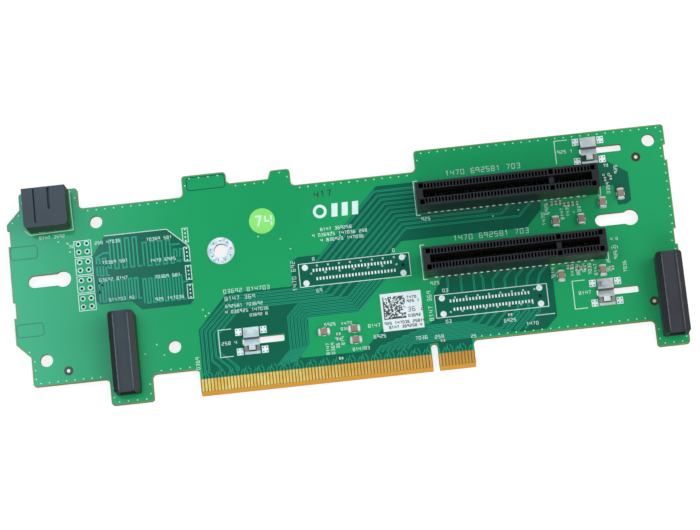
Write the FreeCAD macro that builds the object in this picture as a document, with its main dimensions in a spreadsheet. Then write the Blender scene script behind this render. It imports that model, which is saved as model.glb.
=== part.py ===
# A PCI Express riser card for a two-unit rack server.
#
# The board plugs into the main board by its gold edge connector and carries two card slots,
# a cable header, two guide blocks and three retaining clips. Millimetres throughout.
# +Z points out of the component side, +X runs along the long edge towards the short end of
# the edge connector, and +Y points away from the gold fingers. The origin is on the centre
# line of the key notch, at the bottom edge of the tongue, on the underside of the board.

import FreeCAD, Part
import Sketcher
import os

doc = FreeCAD.newDocument("RiserCard")
dim = doc.addObject("Spreadsheet::Sheet", "Dim")
sheet_rows = [0]
nodes = []


def add_rows(heading, rows):
    """Writes one block of named sizes into the sheet."""
    sheet_rows[0] += 1
    dim.set("A%d" % sheet_rows[0], heading)
    for alias, value in rows:
        sheet_rows[0] += 1
        dim.set("A%d" % sheet_rows[0], alias)
        dim.set("B%d" % sheet_rows[0], str(value))
        dim.setAlias("B%d" % sheet_rows[0], alias)


def add_sizes(heading, names):
    """Puts the sizes set above it into the sheet, each under its own name."""
    add_rows(heading, [(name, globals()[name]) for name in names.split()])


def number(expression):
    """The value that a size expression has at the moment."""
    return float(dim.evalExpression(expression))


def place(item, x, y, z):
    """Places a sub-part's own origin by three size expressions."""
    for axis, expression in (("x", x), ("y", y), ("z", z)):
        if expression != "0":
            item.setExpression("Placement.Base." + axis, expression)


def new_body(name, x="0", y="0", z="0"):
    """Starts one sub-part as a body with its own origin."""
    body = doc.addObject("PartDesign::Body", name)
    body.Label = name
    place(body, x, y, z)
    nodes.append(body)
    return body


def copy_body(original, name, x="0", y="0", z="0"):
    """A second sub-part of the same shape as an earlier body."""
    body = new_body(name, x, y, z)
    copied = body.newObject("PartDesign::FeatureBase", name + "_shape")
    copied.BaseFeature = original
    body.Tip = copied
    return body


def origin_feature(body, role):
    return [feature for feature in body.Origin.OriginFeatures if feature.Role == role][0]


def new_sketch(body, name, plane, offset="0"):
    """A sketch on one of the body's origin planes, shifted along the plane's normal."""
    sketch = body.newObject("Sketcher::SketchObject", name)
    sketch.AttachmentSupport = [(origin_feature(body, plane), "")]
    sketch.MapMode = "FlatFace"
    if offset != "0":
        sketch.setExpression("AttachmentOffset.Base.z", offset)
    return sketch


def hold_point(sketch, geometry, position, across, up):
    """Holds one point of a sketch at a pair of size expressions."""
    for kind, axis, expression in (("DistanceX", -2, across), ("DistanceY", -1, up)):
        if expression == "0":
            sketch.addConstraint(Sketcher.Constraint("PointOnObject", geometry, position, axis))
        else:
            value = number(expression)
            index = sketch.addConstraint(Sketcher.Constraint(kind, geometry, position, value))
            sketch.setExpression("Constraints[%d]" % index, expression)


def add_polygon(sketch, corners):
    """A closed polygon whose corners are pairs of size expressions."""
    points = [FreeCAD.Vector(number(across), number(up), 0) for across, up in corners]
    first = sketch.GeometryCount
    count = len(points)
    for index in range(count):
        sketch.addGeometry(Part.LineSegment(points[index], points[(index + 1) % count]), False)
    for index in range(count):
        following = first + (index + 1) % count
        sketch.addConstraint(Sketcher.Constraint("Coincident", first + index, 2, following, 1))
    for index, (across, up) in enumerate(corners):
        hold_point(sketch, first + index, 1, across, up)


def add_rectangle(sketch, left, right, low, high):
    add_polygon(sketch, [(left, low), (right, low), (right, high), (left, high)])


def add_circle(sketch, across, up, diameter):
    centre = FreeCAD.Vector(number(across), number(up), 0)
    circle = Part.Circle(centre, FreeCAD.Vector(0, 0, 1), number(diameter) / 2)
    index = sketch.addGeometry(circle, False)
    hold_point(sketch, index, 3, across, up)
    held = sketch.addConstraint(Sketcher.Constraint("Diameter", index, number(diameter)))
    sketch.setExpression("Constraints[%d]" % held, diameter)


def add_pad(body, sketch, name, length, symmetric=False, backwards=False):
    pad = body.newObject("PartDesign::Pad", name)
    pad.Profile = sketch
    pad.setExpression("Length", length)
    if symmetric:
        pad.SideType = "Symmetric"
    pad.Reversed = backwards
    return pad


def add_pocket(body, sketch, name, length, symmetric=False, backwards=False):
    pocket = body.newObject("PartDesign::Pocket", name)
    pocket.Profile = sketch
    pocket.setExpression("Length", length)
    if symmetric:
        pocket.SideType = "Symmetric"
    pocket.Reversed = backwards
    return pocket


def add_row(body, feature, name, role, spacing, count, backwards=False):
    """Repeats one feature in a straight row along an axis of the body."""
    row = body.newObject("PartDesign::LinearPattern", name)
    row.Originals = [feature]
    row.Direction = (origin_feature(body, role), [""])
    row.Reversed = backwards
    row.Mode = "Spacing"
    row.setExpression("Offset", spacing)
    row.setExpression("Occurrences", count)
    body.Tip = row
    return row


def upright_edges(feature, places):
    """Names of the edges along Z that stand at the given places in the plan."""
    names = []
    targets = [(number(x), number(y)) for x, y in places]
    for index, edge in enumerate(feature.Shape.Edges):
        ends = [vertex.Point for vertex in edge.Vertexes]
        if len(ends) != 2 or abs(ends[0].z - ends[1].z) < 0.1:
            continue
        for x, y in targets:
            if all(abs(end.x - x) < 0.01 and abs(end.y - y) < 0.01 for end in ends):
                names.append("Edge%d" % (index + 1))
    return names


def add_fillet(body, feature, name, places, radius):
    doc.recompute()
    fillet = body.newObject("PartDesign::Fillet", name)
    fillet.Base = (feature, upright_edges(feature, places))
    fillet.setExpression("Radius", radius)
    return fillet


# Every size that can be set by itself, in millimetres unless its name says otherwise.
# Board outline.
board_length = 205.3
board_thickness = 1.57
board_height = 69.1
shoulder_height = 8.25
right_foot_width = 10.0
foot_gap = 14.5
left_foot_width = 13.2
left_wing_width = 23.4
left_bulge = 4.3
left_bulge_low = 21.8
left_bulge_high = 59.7
notch_floor = 62.5
middle_notch_right = 0.05
tab_right = 38.65
tab_width = 6.1
tab_slant = 0.8
tab_height = 67.9
step_height = 65.3
step_width = 13.0
left_tab_width = 13.8
left_notch_width = 32.5
outer_corner_radius = 1.0
inner_corner_radius = 1.4
tongue_corner_radius = 0.4
add_sizes("Board outline", """
    board_length board_thickness board_height shoulder_height right_foot_width foot_gap
    left_foot_width left_wing_width left_bulge left_bulge_low left_bulge_high notch_floor
    middle_notch_right tab_right tab_width tab_slant tab_height step_height step_width
    left_tab_width left_notch_width outer_corner_radius inner_corner_radius tongue_corner_radius
""")

# Edge connector.
finger_pitch = 1.0
finger_first = 1.5
finger_count_long = 71
finger_count_short = 11
finger_width = 0.7
finger_low = 1.25
finger_high = 5.1
finger_thickness = 0.04
finger_margin = 0.65
key_notch_width = 1.9
bevel_height = 1.2
bevel_depth = 0.45
add_sizes("Edge connector", """
    finger_pitch finger_first finger_count_long finger_count_short finger_width finger_low
    finger_high finger_thickness finger_margin key_notch_width bevel_height bevel_depth
""")
# The board's right end follows from its length and from what lies left of the tongue's short end.
add_rows("Derived places", [
    ("board_right", "=board_length - left_bulge - left_wing_width - left_foot_width - foot_gap"
                    " - finger_first - (finger_count_long - 1) * finger_pitch - finger_margin"),
])

# Break-out recesses.
breakout_length = 5.2
breakout_depth = 0.7
breakout_left_low = 32.6
breakout_left_high = 55.25
breakout_right_low = 33.65
breakout_right_high = 60.25
add_sizes("Break-out recesses", """
    breakout_length breakout_depth breakout_left_low breakout_left_high breakout_right_low
    breakout_right_high
""")

# Round holes.
tooling_hole_diameter = 3.9
tooling_left_x = 27.7
tooling_left_y = 57.7
tooling_right_inset = 5.1
tooling_right_drop = 4.6
tooling_wing_inset = 8.9
tooling_wing_y = 16.1
tooling_foot_inset = 7.6
ring_hole_diameter = 4.4
ring_x = 62.15
ring_y = 44.4
ring_diameter = 8.4
copper_thickness = 0.05
add_sizes("Round holes", """
    tooling_hole_diameter tooling_left_x tooling_left_y tooling_right_inset tooling_right_drop
    tooling_wing_inset tooling_wing_y tooling_foot_inset ring_hole_diameter ring_x ring_y
    ring_diameter copper_thickness
""")

# Keyholes.
keyhole_y = 41.0
keyhole_wide_diameter = 5.0
keyhole_lane_width = 3.8
keyhole_travel = 8.9
keyhole_left_inset = 16.0
keyhole_right_inset = 13.5
add_sizes("Keyholes", """
    keyhole_y keyhole_wide_diameter keyhole_lane_width keyhole_travel keyhole_left_inset
    keyhole_right_inset
""")

# Clip places and slots.
clip_upper_x = 54.05
clip_upper_drop = 5.9
clip_lower_x = 54.15
clip_lower_y = 18.6
clip_left_x = 55.35
clip_left_y = 15.4
clip_slot_left = 2.9
clip_slot_right = 10.0
clip_slot_width = 2.1
clip_slot_radius = 0.6
add_sizes("Clip places and slots", """
    clip_upper_x clip_upper_drop clip_lower_x clip_lower_y clip_left_x clip_left_y
    clip_slot_left clip_slot_right clip_slot_width clip_slot_radius
""")

# Card slots.
slot_key_x = 41.0
slot_lower_y = 32.67
slot_spacing = 20.32
contact_pitch = 1.0
contact_first = 1.5
contact_count_long = 38
contact_count_short = 11
slot_end_wall = 3.0
slot_width = 7.5
slot_height = 11.25
post_diameter = 2.3
post_end_inset = 1.5
post_clearance = 0.1
back_reach = 1.3
tail_reach = 1.2
tail_inner_y = 1.25
tail_outer_y = 3.25
tail_hole_diameter = 0.75
add_sizes("Card slots", """
    slot_key_x slot_lower_y slot_spacing contact_pitch contact_first contact_count_long
    contact_count_short slot_end_wall slot_width slot_height post_diameter post_end_inset
    post_clearance back_reach tail_reach tail_inner_y tail_outer_y tail_hole_diameter
""")

# Guide blocks.
guide_width = 8.0
guide_length = 25.0
guide_height = 8.5
guide_front_y = 2.8
guide_left_inset = 1.7
guide_bevel = 1.6
guide_bead_width = 0.6
guide_bead_height = 0.2
guide_corner_radius = 0.8
guide_socket_width = 4.6
guide_socket_height = 5.2
guide_socket_low = 1.4
guide_socket_depth = 18.0
guide_lead_in = 0.6
peg_diameter = 2.4
peg_clearance = 0.1
peg_end_inset = 5.0
peg_head_diameter = 3.6
add_sizes("Guide blocks", """
    guide_width guide_length guide_height guide_front_y guide_left_inset guide_bevel
    guide_bead_width guide_bead_height guide_corner_radius guide_socket_width
    guide_socket_height guide_socket_low guide_socket_depth guide_lead_in peg_diameter
    peg_clearance peg_end_inset peg_head_diameter
""")

# Cable header.
header_x = 13.15
header_y = 56.3
header_width = 13.45
header_length = 12.4
header_height = 8.7
header_wall = 1.1
header_floor = 1.3
header_mouth_depth = 8.6
header_corner_chamfer = 0.8
header_groove_width = 0.5
header_groove_inset = 3.5
header_groove_depth = 0.9
header_slot_width = 0.8
header_slot_inset = 7.9
header_slot_start = 5.2
header_pin_size = 0.64
header_pin_pitch = 2.54
header_pin_count = 4
header_pin_y = 1.9
header_pin_height = 4.6
header_pin_length = 6.0
header_hole_diameter = 1.1
add_sizes("Cable header", """
    header_x header_y header_width header_length header_height header_wall header_floor
    header_mouth_depth header_corner_chamfer header_groove_width header_groove_inset
    header_groove_depth header_slot_width header_slot_inset header_slot_start header_pin_size
    header_pin_pitch header_pin_count header_pin_y header_pin_height header_pin_length
    header_hole_diameter
""")

# Test coupons.
coupon_x = 21.6
coupon_y = 31.5
coupon_pitch_x = 2.6
coupon_pitch_y = 2.55
coupon_spacing = 5.75
coupon_count = 4
coupon_hole_diameter = 0.9
coupon_pad_diameter = 1.7
add_sizes("Test coupons", """
    coupon_x coupon_y coupon_pitch_x coupon_pitch_y coupon_spacing coupon_count
    coupon_hole_diameter coupon_pad_diameter
""")

# Slot moulding.
groove_width = 1.8
groove_depth = 8.9
groove_end_margin = 0.85
groove_lip = 0.4
groove_lip_depth = 1.1
cell_rim = 0.3
key_bar_width = 1.5
cell_width = 0.6
cell_depth = 2.1
housing_standoff = 0.3
housing_foot_length = 1.6
tail_channel_height = 1.4
tail_channel_half_width = 3.5
core_pocket_length = 1.4
core_pocket_width = 1.5
core_pocket_y = 2.5
core_pocket_inset = 1.0
core_pocket_depth = 9.0
housing_corner_radius = 0.4
add_sizes("Slot moulding", """
    groove_width groove_depth groove_end_margin groove_lip groove_lip_depth cell_rim
    key_bar_width cell_width cell_depth
    housing_standoff housing_foot_length tail_channel_height tail_channel_half_width
    core_pocket_length core_pocket_width core_pocket_y core_pocket_inset core_pocket_depth
    housing_corner_radius
""")

# Slot contacts.
strip_thickness = 0.2
strip_width = 0.45
strip_step_low = 0.6
strip_bend_height = 4.0
strip_touch_height = 8.6
strip_touch_y = 0.62
strip_tip_height = 9.9
strip_tip_y = 1.15
add_sizes("Slot contacts", """
    strip_thickness strip_width strip_step_low strip_bend_height strip_touch_height
    strip_touch_y strip_tip_height strip_tip_y
""")

# Spring clips.
clip_sheet = 0.3
clip_width = 4.85
clip_foot_end = 4.2
clip_slope_foot = 3.4
clip_crest_outer = 1.6
clip_crest_inner = 1.05
clip_channel_floor = 0.55
clip_crest_height = 1.35
clip_channel_drop = 0.9
clip_window_wide = 3.0
clip_window_narrow = 2.2
clip_window_low = 3.3
clip_tongue_width = 2.0
clip_tongue_drop = 0.35
clip_boss_diameter = 2.4
clip_boss_y = 2.3
clip_boss_height = 1.2
clip_pad_width = 2.0
clip_pad_height = 2.2
clip_pad_x = 3.85
clip_pad_y = 3.07
add_sizes("Spring clips", """
    clip_sheet clip_width clip_foot_end clip_slope_foot clip_crest_outer clip_crest_inner
    clip_channel_floor clip_crest_height clip_channel_drop clip_window_wide clip_window_narrow
    clip_window_low clip_tongue_width clip_tongue_drop clip_boss_diameter clip_boss_y
    clip_boss_height clip_pad_width clip_pad_height clip_pad_x clip_pad_y
""")

# Unfilled footprints.
footprint_left_x = 21.9
footprint_left_y = 33.75
footprint_right_x = 18.95
footprint_right_y = 19.65
footprint_anchor_x = 15.0
footprint_anchor_y = 2.45
footprint_anchor_diameter = 1.9
footprint_row_y = 1.35
footprint_row_start = 12.45
footprint_row_shift = 0.9
footprint_pad_width = 0.5
footprint_pad_length = 0.95
footprint_pitch = 1.0
footprint_count = 25
add_sizes("Unfilled footprints", """
    footprint_left_x footprint_left_y footprint_right_x footprint_right_y footprint_anchor_x
    footprint_anchor_y footprint_anchor_diameter footprint_row_y footprint_row_start
    footprint_row_shift footprint_pad_width footprint_pad_length footprint_pitch footprint_count
""")

# Chip cases.
bulk_length = 3.2
bulk_width = 1.7
bulk_height = 1.3
bulk_end = 0.5
small_length = 1.05
small_width = 0.55
small_height = 0.5
small_end = 0.27
solder_film = 0.05
add_sizes("Chip cases", """
    bulk_length bulk_width bulk_height bulk_end small_length small_width small_height small_end
    solder_film
""")

# Labels.
label_x = 8.6
label_y = 19.55
label_width = 12.6
label_height = 11.7
label_turn_degrees = 0.5
sticker_x = 48.65
sticker_y = 52.3
sticker_diameter = 8.0
film_thickness = 0.12
add_sizes("Labels", """
    label_x label_y label_width label_height label_turn_degrees sticker_x sticker_y
    sticker_diameter film_thickness
""")

# Where each ceramic chip stands, from the key notch and the tongue's edge, and which way it lies.
BULK_CHIPS = (
    (-33.05, 15.7, "across"),
    (-23.75, 15.7, "across"),
    (-23.55, 12.2, "across"),
    (41.35, 42.1, "upright"),
    (41.05, 25.1, "upright"),
    (49.25, 42.0, "upright"),
    (56.35, 46.5, "upright"),
    (62.15, 48.6, "upright"),
    (53.95, 25.4, "upright"),
)
SMALL_CHIPS = (
    (40.75, 47.9, "upright"),
    (42.05, 47.9, "upright"),
    (43.35, 47.9, "upright"),
    (44.55, 47.1, "upright"),
    (45.85, 47.1, "upright"),
    (47.15, 47.1, "upright"),
    (48.55, 47.1, "upright"),
    (43.35, 27.6, "upright"),
    (44.75, 27.6, "upright"),
    (45.95, 26.8, "upright"),
    (47.25, 26.8, "upright"),
    (48.55, 26.8, "upright"),
    (59.75, 54.0, "upright"),
    (57.95, 53.7, "upright"),
    (57.05, 25.9, "upright"),
    (-28.75, 14.6, "across"),
    (-28.75, 13.0, "across"),
    (-28.65, 7.0, "across"),
    (2.85, 9.1, "across"),
    (24.15, 14.8, "across"),
)
for case, chips in (("bulk", BULK_CHIPS), ("small", SMALL_CHIPS)):
    add_rows("Places of the %s chips" % case, [
        ("%s_%s%d" % (case, axis, index + 1), place)
        for index, chip in enumerate(chips)
        for axis, place in zip(("across", "up"), chip)])
doc.recompute()


# The board: a 1.6 mm glass-epoxy laminate with a routed outline. The tongue with the gold
# fingers stands down between two feet, and the top edge has three notches and a tab.


TONGUE_LONG = "(Dim.finger_first + (Dim.finger_count_long - 1) * Dim.finger_pitch + Dim.finger_margin)"
TONGUE_SHORT = "(Dim.finger_first + (Dim.finger_count_short - 1) * Dim.finger_pitch + Dim.finger_margin)"
FOOT_RIGHT = "(0 - " + TONGUE_LONG + " - Dim.foot_gap)"
FOOT_LEFT = "(" + FOOT_RIGHT + " - Dim.left_foot_width)"
WING_LEFT = "(" + FOOT_LEFT + " - Dim.left_wing_width)"
BOARD_LEFT = "(" + WING_LEFT + " - Dim.left_bulge)"
HOOK_LEFT = "(Dim.board_right - Dim.right_foot_width)"
TAB_RIGHT = "(0 - Dim.tab_right)"
TAB_LEFT = "(" + TAB_RIGHT + " - Dim.tab_width)"
STEP_RIGHT = "(" + TAB_LEFT + " - Dim.tab_slant)"
STEP_LEFT = "(" + STEP_RIGHT + " - Dim.step_width)"
LEFT_TAB_LEFT = "(" + STEP_LEFT + " - Dim.left_tab_width)"
LEFT_NOTCH_LEFT = "(" + LEFT_TAB_LEFT + " - Dim.left_notch_width)"
BULGE_BOTTOM = "(Dim.left_bulge_low - Dim.left_bulge)"
BULGE_TOP = "(Dim.left_bulge_high + Dim.left_bulge)"

board = doc.addObject("PartDesign::Body", "board_blank")
sketch = new_sketch(board, "board_outline", "XY_Plane")
add_polygon(sketch, [
    ("0 - " + TONGUE_LONG, "0"),
    (TONGUE_SHORT, "0"),
    (TONGUE_SHORT, "Dim.shoulder_height"),
    (HOOK_LEFT, "Dim.shoulder_height"),
    (HOOK_LEFT, "0"),
    ("Dim.board_right", "0"),
    ("Dim.board_right", "Dim.board_height"),
    ("Dim.middle_notch_right", "Dim.board_height"),
    ("Dim.middle_notch_right", "Dim.notch_floor"),
    (TAB_RIGHT, "Dim.notch_floor"),
    (TAB_RIGHT, "Dim.tab_height"),
    (TAB_LEFT, "Dim.tab_height"),
    (STEP_RIGHT, "Dim.step_height"),
    (STEP_LEFT, "Dim.step_height"),
    (STEP_LEFT, "Dim.board_height"),
    (LEFT_TAB_LEFT, "Dim.board_height"),
    (LEFT_TAB_LEFT, "Dim.notch_floor"),
    (LEFT_NOTCH_LEFT, "Dim.notch_floor"),
    (LEFT_NOTCH_LEFT, "Dim.board_height"),
    (WING_LEFT, "Dim.board_height"),
    (WING_LEFT, BULGE_TOP),
    (BOARD_LEFT, "Dim.left_bulge_high"),
    (BOARD_LEFT, "Dim.left_bulge_low"),
    (WING_LEFT, BULGE_BOTTOM),
    (WING_LEFT, "Dim.shoulder_height"),
    (FOOT_LEFT, "Dim.shoulder_height"),
    (FOOT_LEFT, "0"),
    (FOOT_RIGHT, "0"),
    (FOOT_RIGHT, "Dim.shoulder_height"),
    ("0 - " + TONGUE_LONG, "Dim.shoulder_height"),
])
outline = add_pad(board, sketch, "laminate", "Dim.board_thickness")

# Each spring clip straddles a routed slot, so that a bracket's tab can pass under the clip.
CLIPS = (
    ("upper", "Dim.clip_upper_x", "(Dim.board_height - Dim.clip_upper_drop)"),
    ("lower", "Dim.clip_lower_x", "Dim.clip_lower_y"),
    ("left", "(0 - Dim.clip_left_x)", "Dim.clip_left_y"),
)
sketch = new_sketch(board, "clip_slot_plan", "XY_Plane", "Dim.board_thickness")
slot_corners = []
for clip_name, clip_x, clip_y in CLIPS:
    left = clip_x + " - Dim.clip_slot_left"
    right = clip_x + " + Dim.clip_slot_right"
    low = clip_y + " - Dim.clip_slot_width / 2"
    high = clip_y + " + Dim.clip_slot_width / 2"
    add_rectangle(sketch, left, right, low, high)
    slot_corners += [(left, low), (right, low), (right, high), (left, high)]
slots_cut = add_pocket(board, sketch, "clip_slots", "Dim.board_thickness")
rounded = add_fillet(board, slots_cut, "clip_slot_corners", slot_corners, "Dim.clip_slot_radius")

# Routed corners of the outline.
rounded = add_fillet(board, rounded, "outer_corners", [
    (HOOK_LEFT, "0"),
    ("Dim.board_right", "0"),
    ("Dim.board_right", "Dim.board_height"),
    ("Dim.middle_notch_right", "Dim.board_height"),
    (TAB_RIGHT, "Dim.tab_height"),
    (TAB_LEFT, "Dim.tab_height"),
    (STEP_LEFT, "Dim.board_height"),
    (LEFT_TAB_LEFT, "Dim.board_height"),
    (LEFT_NOTCH_LEFT, "Dim.board_height"),
    (WING_LEFT, "Dim.board_height"),
    (WING_LEFT, "Dim.shoulder_height"),
    (FOOT_LEFT, "0"),
    (FOOT_RIGHT, "0"),
], "Dim.outer_corner_radius")
rounded = add_fillet(board, rounded, "inner_corners", [
    (TONGUE_SHORT, "Dim.shoulder_height"),
    (HOOK_LEFT, "Dim.shoulder_height"),
    ("Dim.middle_notch_right", "Dim.notch_floor"),
    (TAB_RIGHT, "Dim.notch_floor"),
    (STEP_LEFT, "Dim.step_height"),
    (LEFT_TAB_LEFT, "Dim.notch_floor"),
    (LEFT_NOTCH_LEFT, "Dim.notch_floor"),
    (FOOT_LEFT, "Dim.shoulder_height"),
    (FOOT_RIGHT, "Dim.shoulder_height"),
    ("0 - " + TONGUE_LONG, "Dim.shoulder_height"),
], "Dim.inner_corner_radius")
rounded = add_fillet(board, rounded, "tongue_corners", [
    ("0 - " + TONGUE_LONG, "0"),
    (TONGUE_SHORT, "0"),
], "Dim.tongue_corner_radius")

# The key notch is a narrow routed slot with a round top, and the tongue's bottom edge is
# bevelled on both faces so that it slides into its socket.
sketch = new_sketch(board, "key_notch_plan", "XY_Plane", "Dim.board_thickness")
add_rectangle(sketch, "0 - Dim.key_notch_width / 2", "Dim.key_notch_width / 2",
              "-1", "Dim.shoulder_height - Dim.key_notch_width / 2")
add_pocket(board, sketch, "key_notch", "Dim.board_thickness")
sketch = new_sketch(board, "key_notch_top_plan", "XY_Plane", "Dim.board_thickness")
add_circle(sketch, "0", "Dim.shoulder_height - Dim.key_notch_width / 2", "Dim.key_notch_width")
add_pocket(board, sketch, "key_notch_top", "Dim.board_thickness")
sketch = new_sketch(board, "tongue_bevel_section", "YZ_Plane", TONGUE_SHORT + " + 0.1")
add_polygon(sketch, [
    ("-0.1", "-0.1"),
    ("Dim.bevel_height", "-0.1"),
    ("Dim.bevel_height", "0"),
    ("0", "Dim.bevel_depth"),
    ("-0.1", "Dim.bevel_depth"),
])
add_polygon(sketch, [
    ("-0.1", "Dim.board_thickness + 0.1"),
    ("Dim.bevel_height", "Dim.board_thickness + 0.1"),
    ("Dim.bevel_height", "Dim.board_thickness"),
    ("0", "Dim.board_thickness - Dim.bevel_depth"),
    ("-0.1", "Dim.board_thickness - Dim.bevel_depth"),
])
add_pocket(board, sketch, "tongue_bevel", TONGUE_SHORT + " + " + TONGUE_LONG + " + 0.2")

# Shallow recesses in the left and right edges, where the board was broken out of its panel.
sketch = new_sketch(board, "breakout_plan", "XY_Plane", "Dim.board_thickness")
for middle in ("Dim.breakout_left_low", "Dim.breakout_left_high"):
    add_rectangle(sketch, BOARD_LEFT + " - 1", BOARD_LEFT + " + Dim.breakout_depth",
                  middle + " - Dim.breakout_length / 2", middle + " + Dim.breakout_length / 2")
for middle in ("Dim.breakout_right_low", "Dim.breakout_right_high"):
    add_rectangle(sketch, "Dim.board_right - Dim.breakout_depth", "Dim.board_right + 1",
                  middle + " - Dim.breakout_length / 2", middle + " + Dim.breakout_length / 2")
add_pocket(board, sketch, "breakout_recesses", "Dim.board_thickness")

# Four plain tooling holes, and one larger hole whose copper ring grounds the board at a screw.
sketch = new_sketch(board, "round_hole_plan", "XY_Plane", "Dim.board_thickness")
add_circle(sketch, BOARD_LEFT + " + Dim.tooling_left_x", "Dim.tooling_left_y", "Dim.tooling_hole_diameter")
add_circle(sketch, "Dim.board_right - Dim.tooling_right_inset",
           "Dim.board_height - Dim.tooling_right_drop", "Dim.tooling_hole_diameter")
add_circle(sketch, BOARD_LEFT + " + Dim.tooling_wing_inset", "Dim.tooling_wing_y", "Dim.tooling_hole_diameter")
add_circle(sketch, FOOT_RIGHT + " + Dim.tooling_foot_inset", "Dim.tooling_wing_y", "Dim.tooling_hole_diameter")
add_circle(sketch, "0 - Dim.ring_x", "Dim.ring_y", "Dim.ring_hole_diameter")
add_pocket(board, sketch, "round_holes", "Dim.board_thickness")

# Two keyholes hang the card on shouldered studs: a wide end passes the stud's head, and the
# narrow lane beside it holds the neck.
KEYHOLES = (BOARD_LEFT + " + Dim.keyhole_left_inset", "Dim.board_right - Dim.keyhole_right_inset")
sketch = new_sketch(board, "keyhole_wide_plan", "XY_Plane", "Dim.board_thickness")
for wide_x in KEYHOLES:
    add_circle(sketch, wide_x, "Dim.keyhole_y", "Dim.keyhole_wide_diameter")
add_pocket(board, sketch, "keyhole_wide_ends", "Dim.board_thickness")
sketch = new_sketch(board, "keyhole_lane_plan", "XY_Plane", "Dim.board_thickness")
for wide_x in KEYHOLES:
    add_rectangle(sketch, wide_x + " - Dim.keyhole_travel", wide_x,
                  "Dim.keyhole_y - Dim.keyhole_lane_width / 2", "Dim.keyhole_y + Dim.keyhole_lane_width / 2")
add_pocket(board, sketch, "keyhole_lanes", "Dim.board_thickness")
sketch = new_sketch(board, "keyhole_end_plan", "XY_Plane", "Dim.board_thickness")
for wide_x in KEYHOLES:
    add_circle(sketch, wide_x + " - Dim.keyhole_travel", "Dim.keyhole_y", "Dim.keyhole_lane_width")
add_pocket(board, sketch, "keyhole_narrow_ends", "Dim.board_thickness")

# Holes for the locating posts of the two card slots.
SLOT_LONG = "(Dim.contact_first + (Dim.contact_count_long - 1) * Dim.contact_pitch)"
SLOT_SHORT = "(Dim.contact_first + (Dim.contact_count_short - 1) * Dim.contact_pitch)"
SLOTS = (
    ("upper", "(Dim.slot_lower_y + Dim.slot_spacing)"),
    ("lower", "Dim.slot_lower_y"),
)
POST_FAR = "(0 - " + SLOT_LONG + " - Dim.post_end_inset)"
sketch = new_sketch(board, "post_hole_plan", "XY_Plane", "Dim.board_thickness")
for slot_name, slot_y in SLOTS:
    for post_x in ("0", POST_FAR):
        add_circle(sketch, "Dim.slot_key_x + " + post_x, slot_y, "Dim.post_diameter + Dim.post_clearance")
add_pocket(board, sketch, "post_holes", "Dim.board_thickness")

# Guide blocks stand at the feet, one flush with the right edge. Each is staked to the board
# by two pegs.
GUIDES = (
    ("left", "(" + FOOT_LEFT + " + Dim.guide_left_inset + Dim.guide_width / 2)"),
    ("right", "(Dim.board_right - Dim.guide_width / 2)"),
)
PEGS = ("Dim.peg_end_inset", "Dim.guide_length - Dim.peg_end_inset")
sketch = new_sketch(board, "peg_hole_plan", "XY_Plane", "Dim.board_thickness")
for guide_name, guide_x in GUIDES:
    for peg_y in PEGS:
        add_circle(sketch, guide_x, "Dim.guide_front_y + " + peg_y, "Dim.peg_diameter + Dim.peg_clearance")
add_pocket(board, sketch, "peg_holes", "Dim.board_thickness")

# The small plated holes are drilled last, in rows: for the contact tails of both card slots, for
# the four pins of the cable header, and for the probe holes of the test coupons, which are four
# groups of two by two in a column.
drills = doc.addObject("PartDesign::Body", "drills")
first_long = "Dim.slot_key_x - Dim.contact_first"
first_short = "Dim.slot_key_x + Dim.contact_first"
TAIL_ROWS = (
    ("long_outer", first_long, "Dim.tail_outer_y", "Dim.contact_count_long / 2", True),
    ("long_inner", first_long + " - Dim.contact_pitch", "Dim.tail_inner_y", "Dim.contact_count_long / 2", True),
    ("short_outer", first_short + " + Dim.contact_pitch", "Dim.tail_outer_y",
     "(Dim.contact_count_short - 1) / 2", False),
    ("short_inner", first_short, "Dim.tail_inner_y", "(Dim.contact_count_short + 1) / 2", False),
)
for row_name, first_x, tail_y, count, backwards in TAIL_ROWS:
    sketch = new_sketch(drills, row_name + "_plan", "XY_Plane")
    for side in (" + ", " - "):
        add_circle(sketch, first_x, "Dim.slot_lower_y" + side + tail_y, "Dim.tail_hole_diameter")
    drill = add_pad(drills, sketch, row_name + "_drill", "Dim.board_thickness")
    row = add_row(drills, drill, row_name + "_drills", "X_Axis", "Dim.contact_pitch * 2", count, backwards)
    row.Direction2 = (origin_feature(drills, "Y_Axis"), [""])
    row.Mode2 = "Spacing"
    row.setExpression("Offset2", "Dim.slot_spacing")
    row.Occurrences2 = 2

HEADER_MIDDLE = "(" + BOARD_LEFT + " + Dim.header_x)"
FIRST_PIN = "(0 - (Dim.header_pin_count - 1) * Dim.header_pin_pitch / 2)"
sketch = new_sketch(drills, "header_hole_plan", "XY_Plane")
add_circle(sketch, HEADER_MIDDLE + " + " + FIRST_PIN, "Dim.header_y + Dim.header_pin_y",
           "Dim.header_hole_diameter")
drill = add_pad(drills, sketch, "header_drill", "Dim.board_thickness")
add_row(drills, drill, "header_drills", "X_Axis", "Dim.header_pin_pitch", "Dim.header_pin_count")

COUPON_PLACES = [(BOARD_LEFT + " + Dim.coupon_x" + across, "Dim.coupon_y" + up)
                 for across in ("", " + Dim.coupon_pitch_x")
                 for up in ("", " + Dim.coupon_pitch_y")]
sketch = new_sketch(drills, "coupon_hole_plan", "XY_Plane")
for hole_x, hole_y in COUPON_PLACES:
    add_circle(sketch, hole_x, hole_y, "Dim.coupon_hole_diameter")
drill = add_pad(drills, sketch, "coupon_drill", "Dim.board_thickness")
add_row(drills, drill, "coupon_drills", "Y_Axis", "Dim.coupon_spacing", "Dim.coupon_count")

drilled = doc.addObject("Part::Cut", "circuit_board")
drilled.Label = "circuit_board"
drilled.Base = board
drilled.Tool = drills
nodes.append(drilled)

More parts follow.
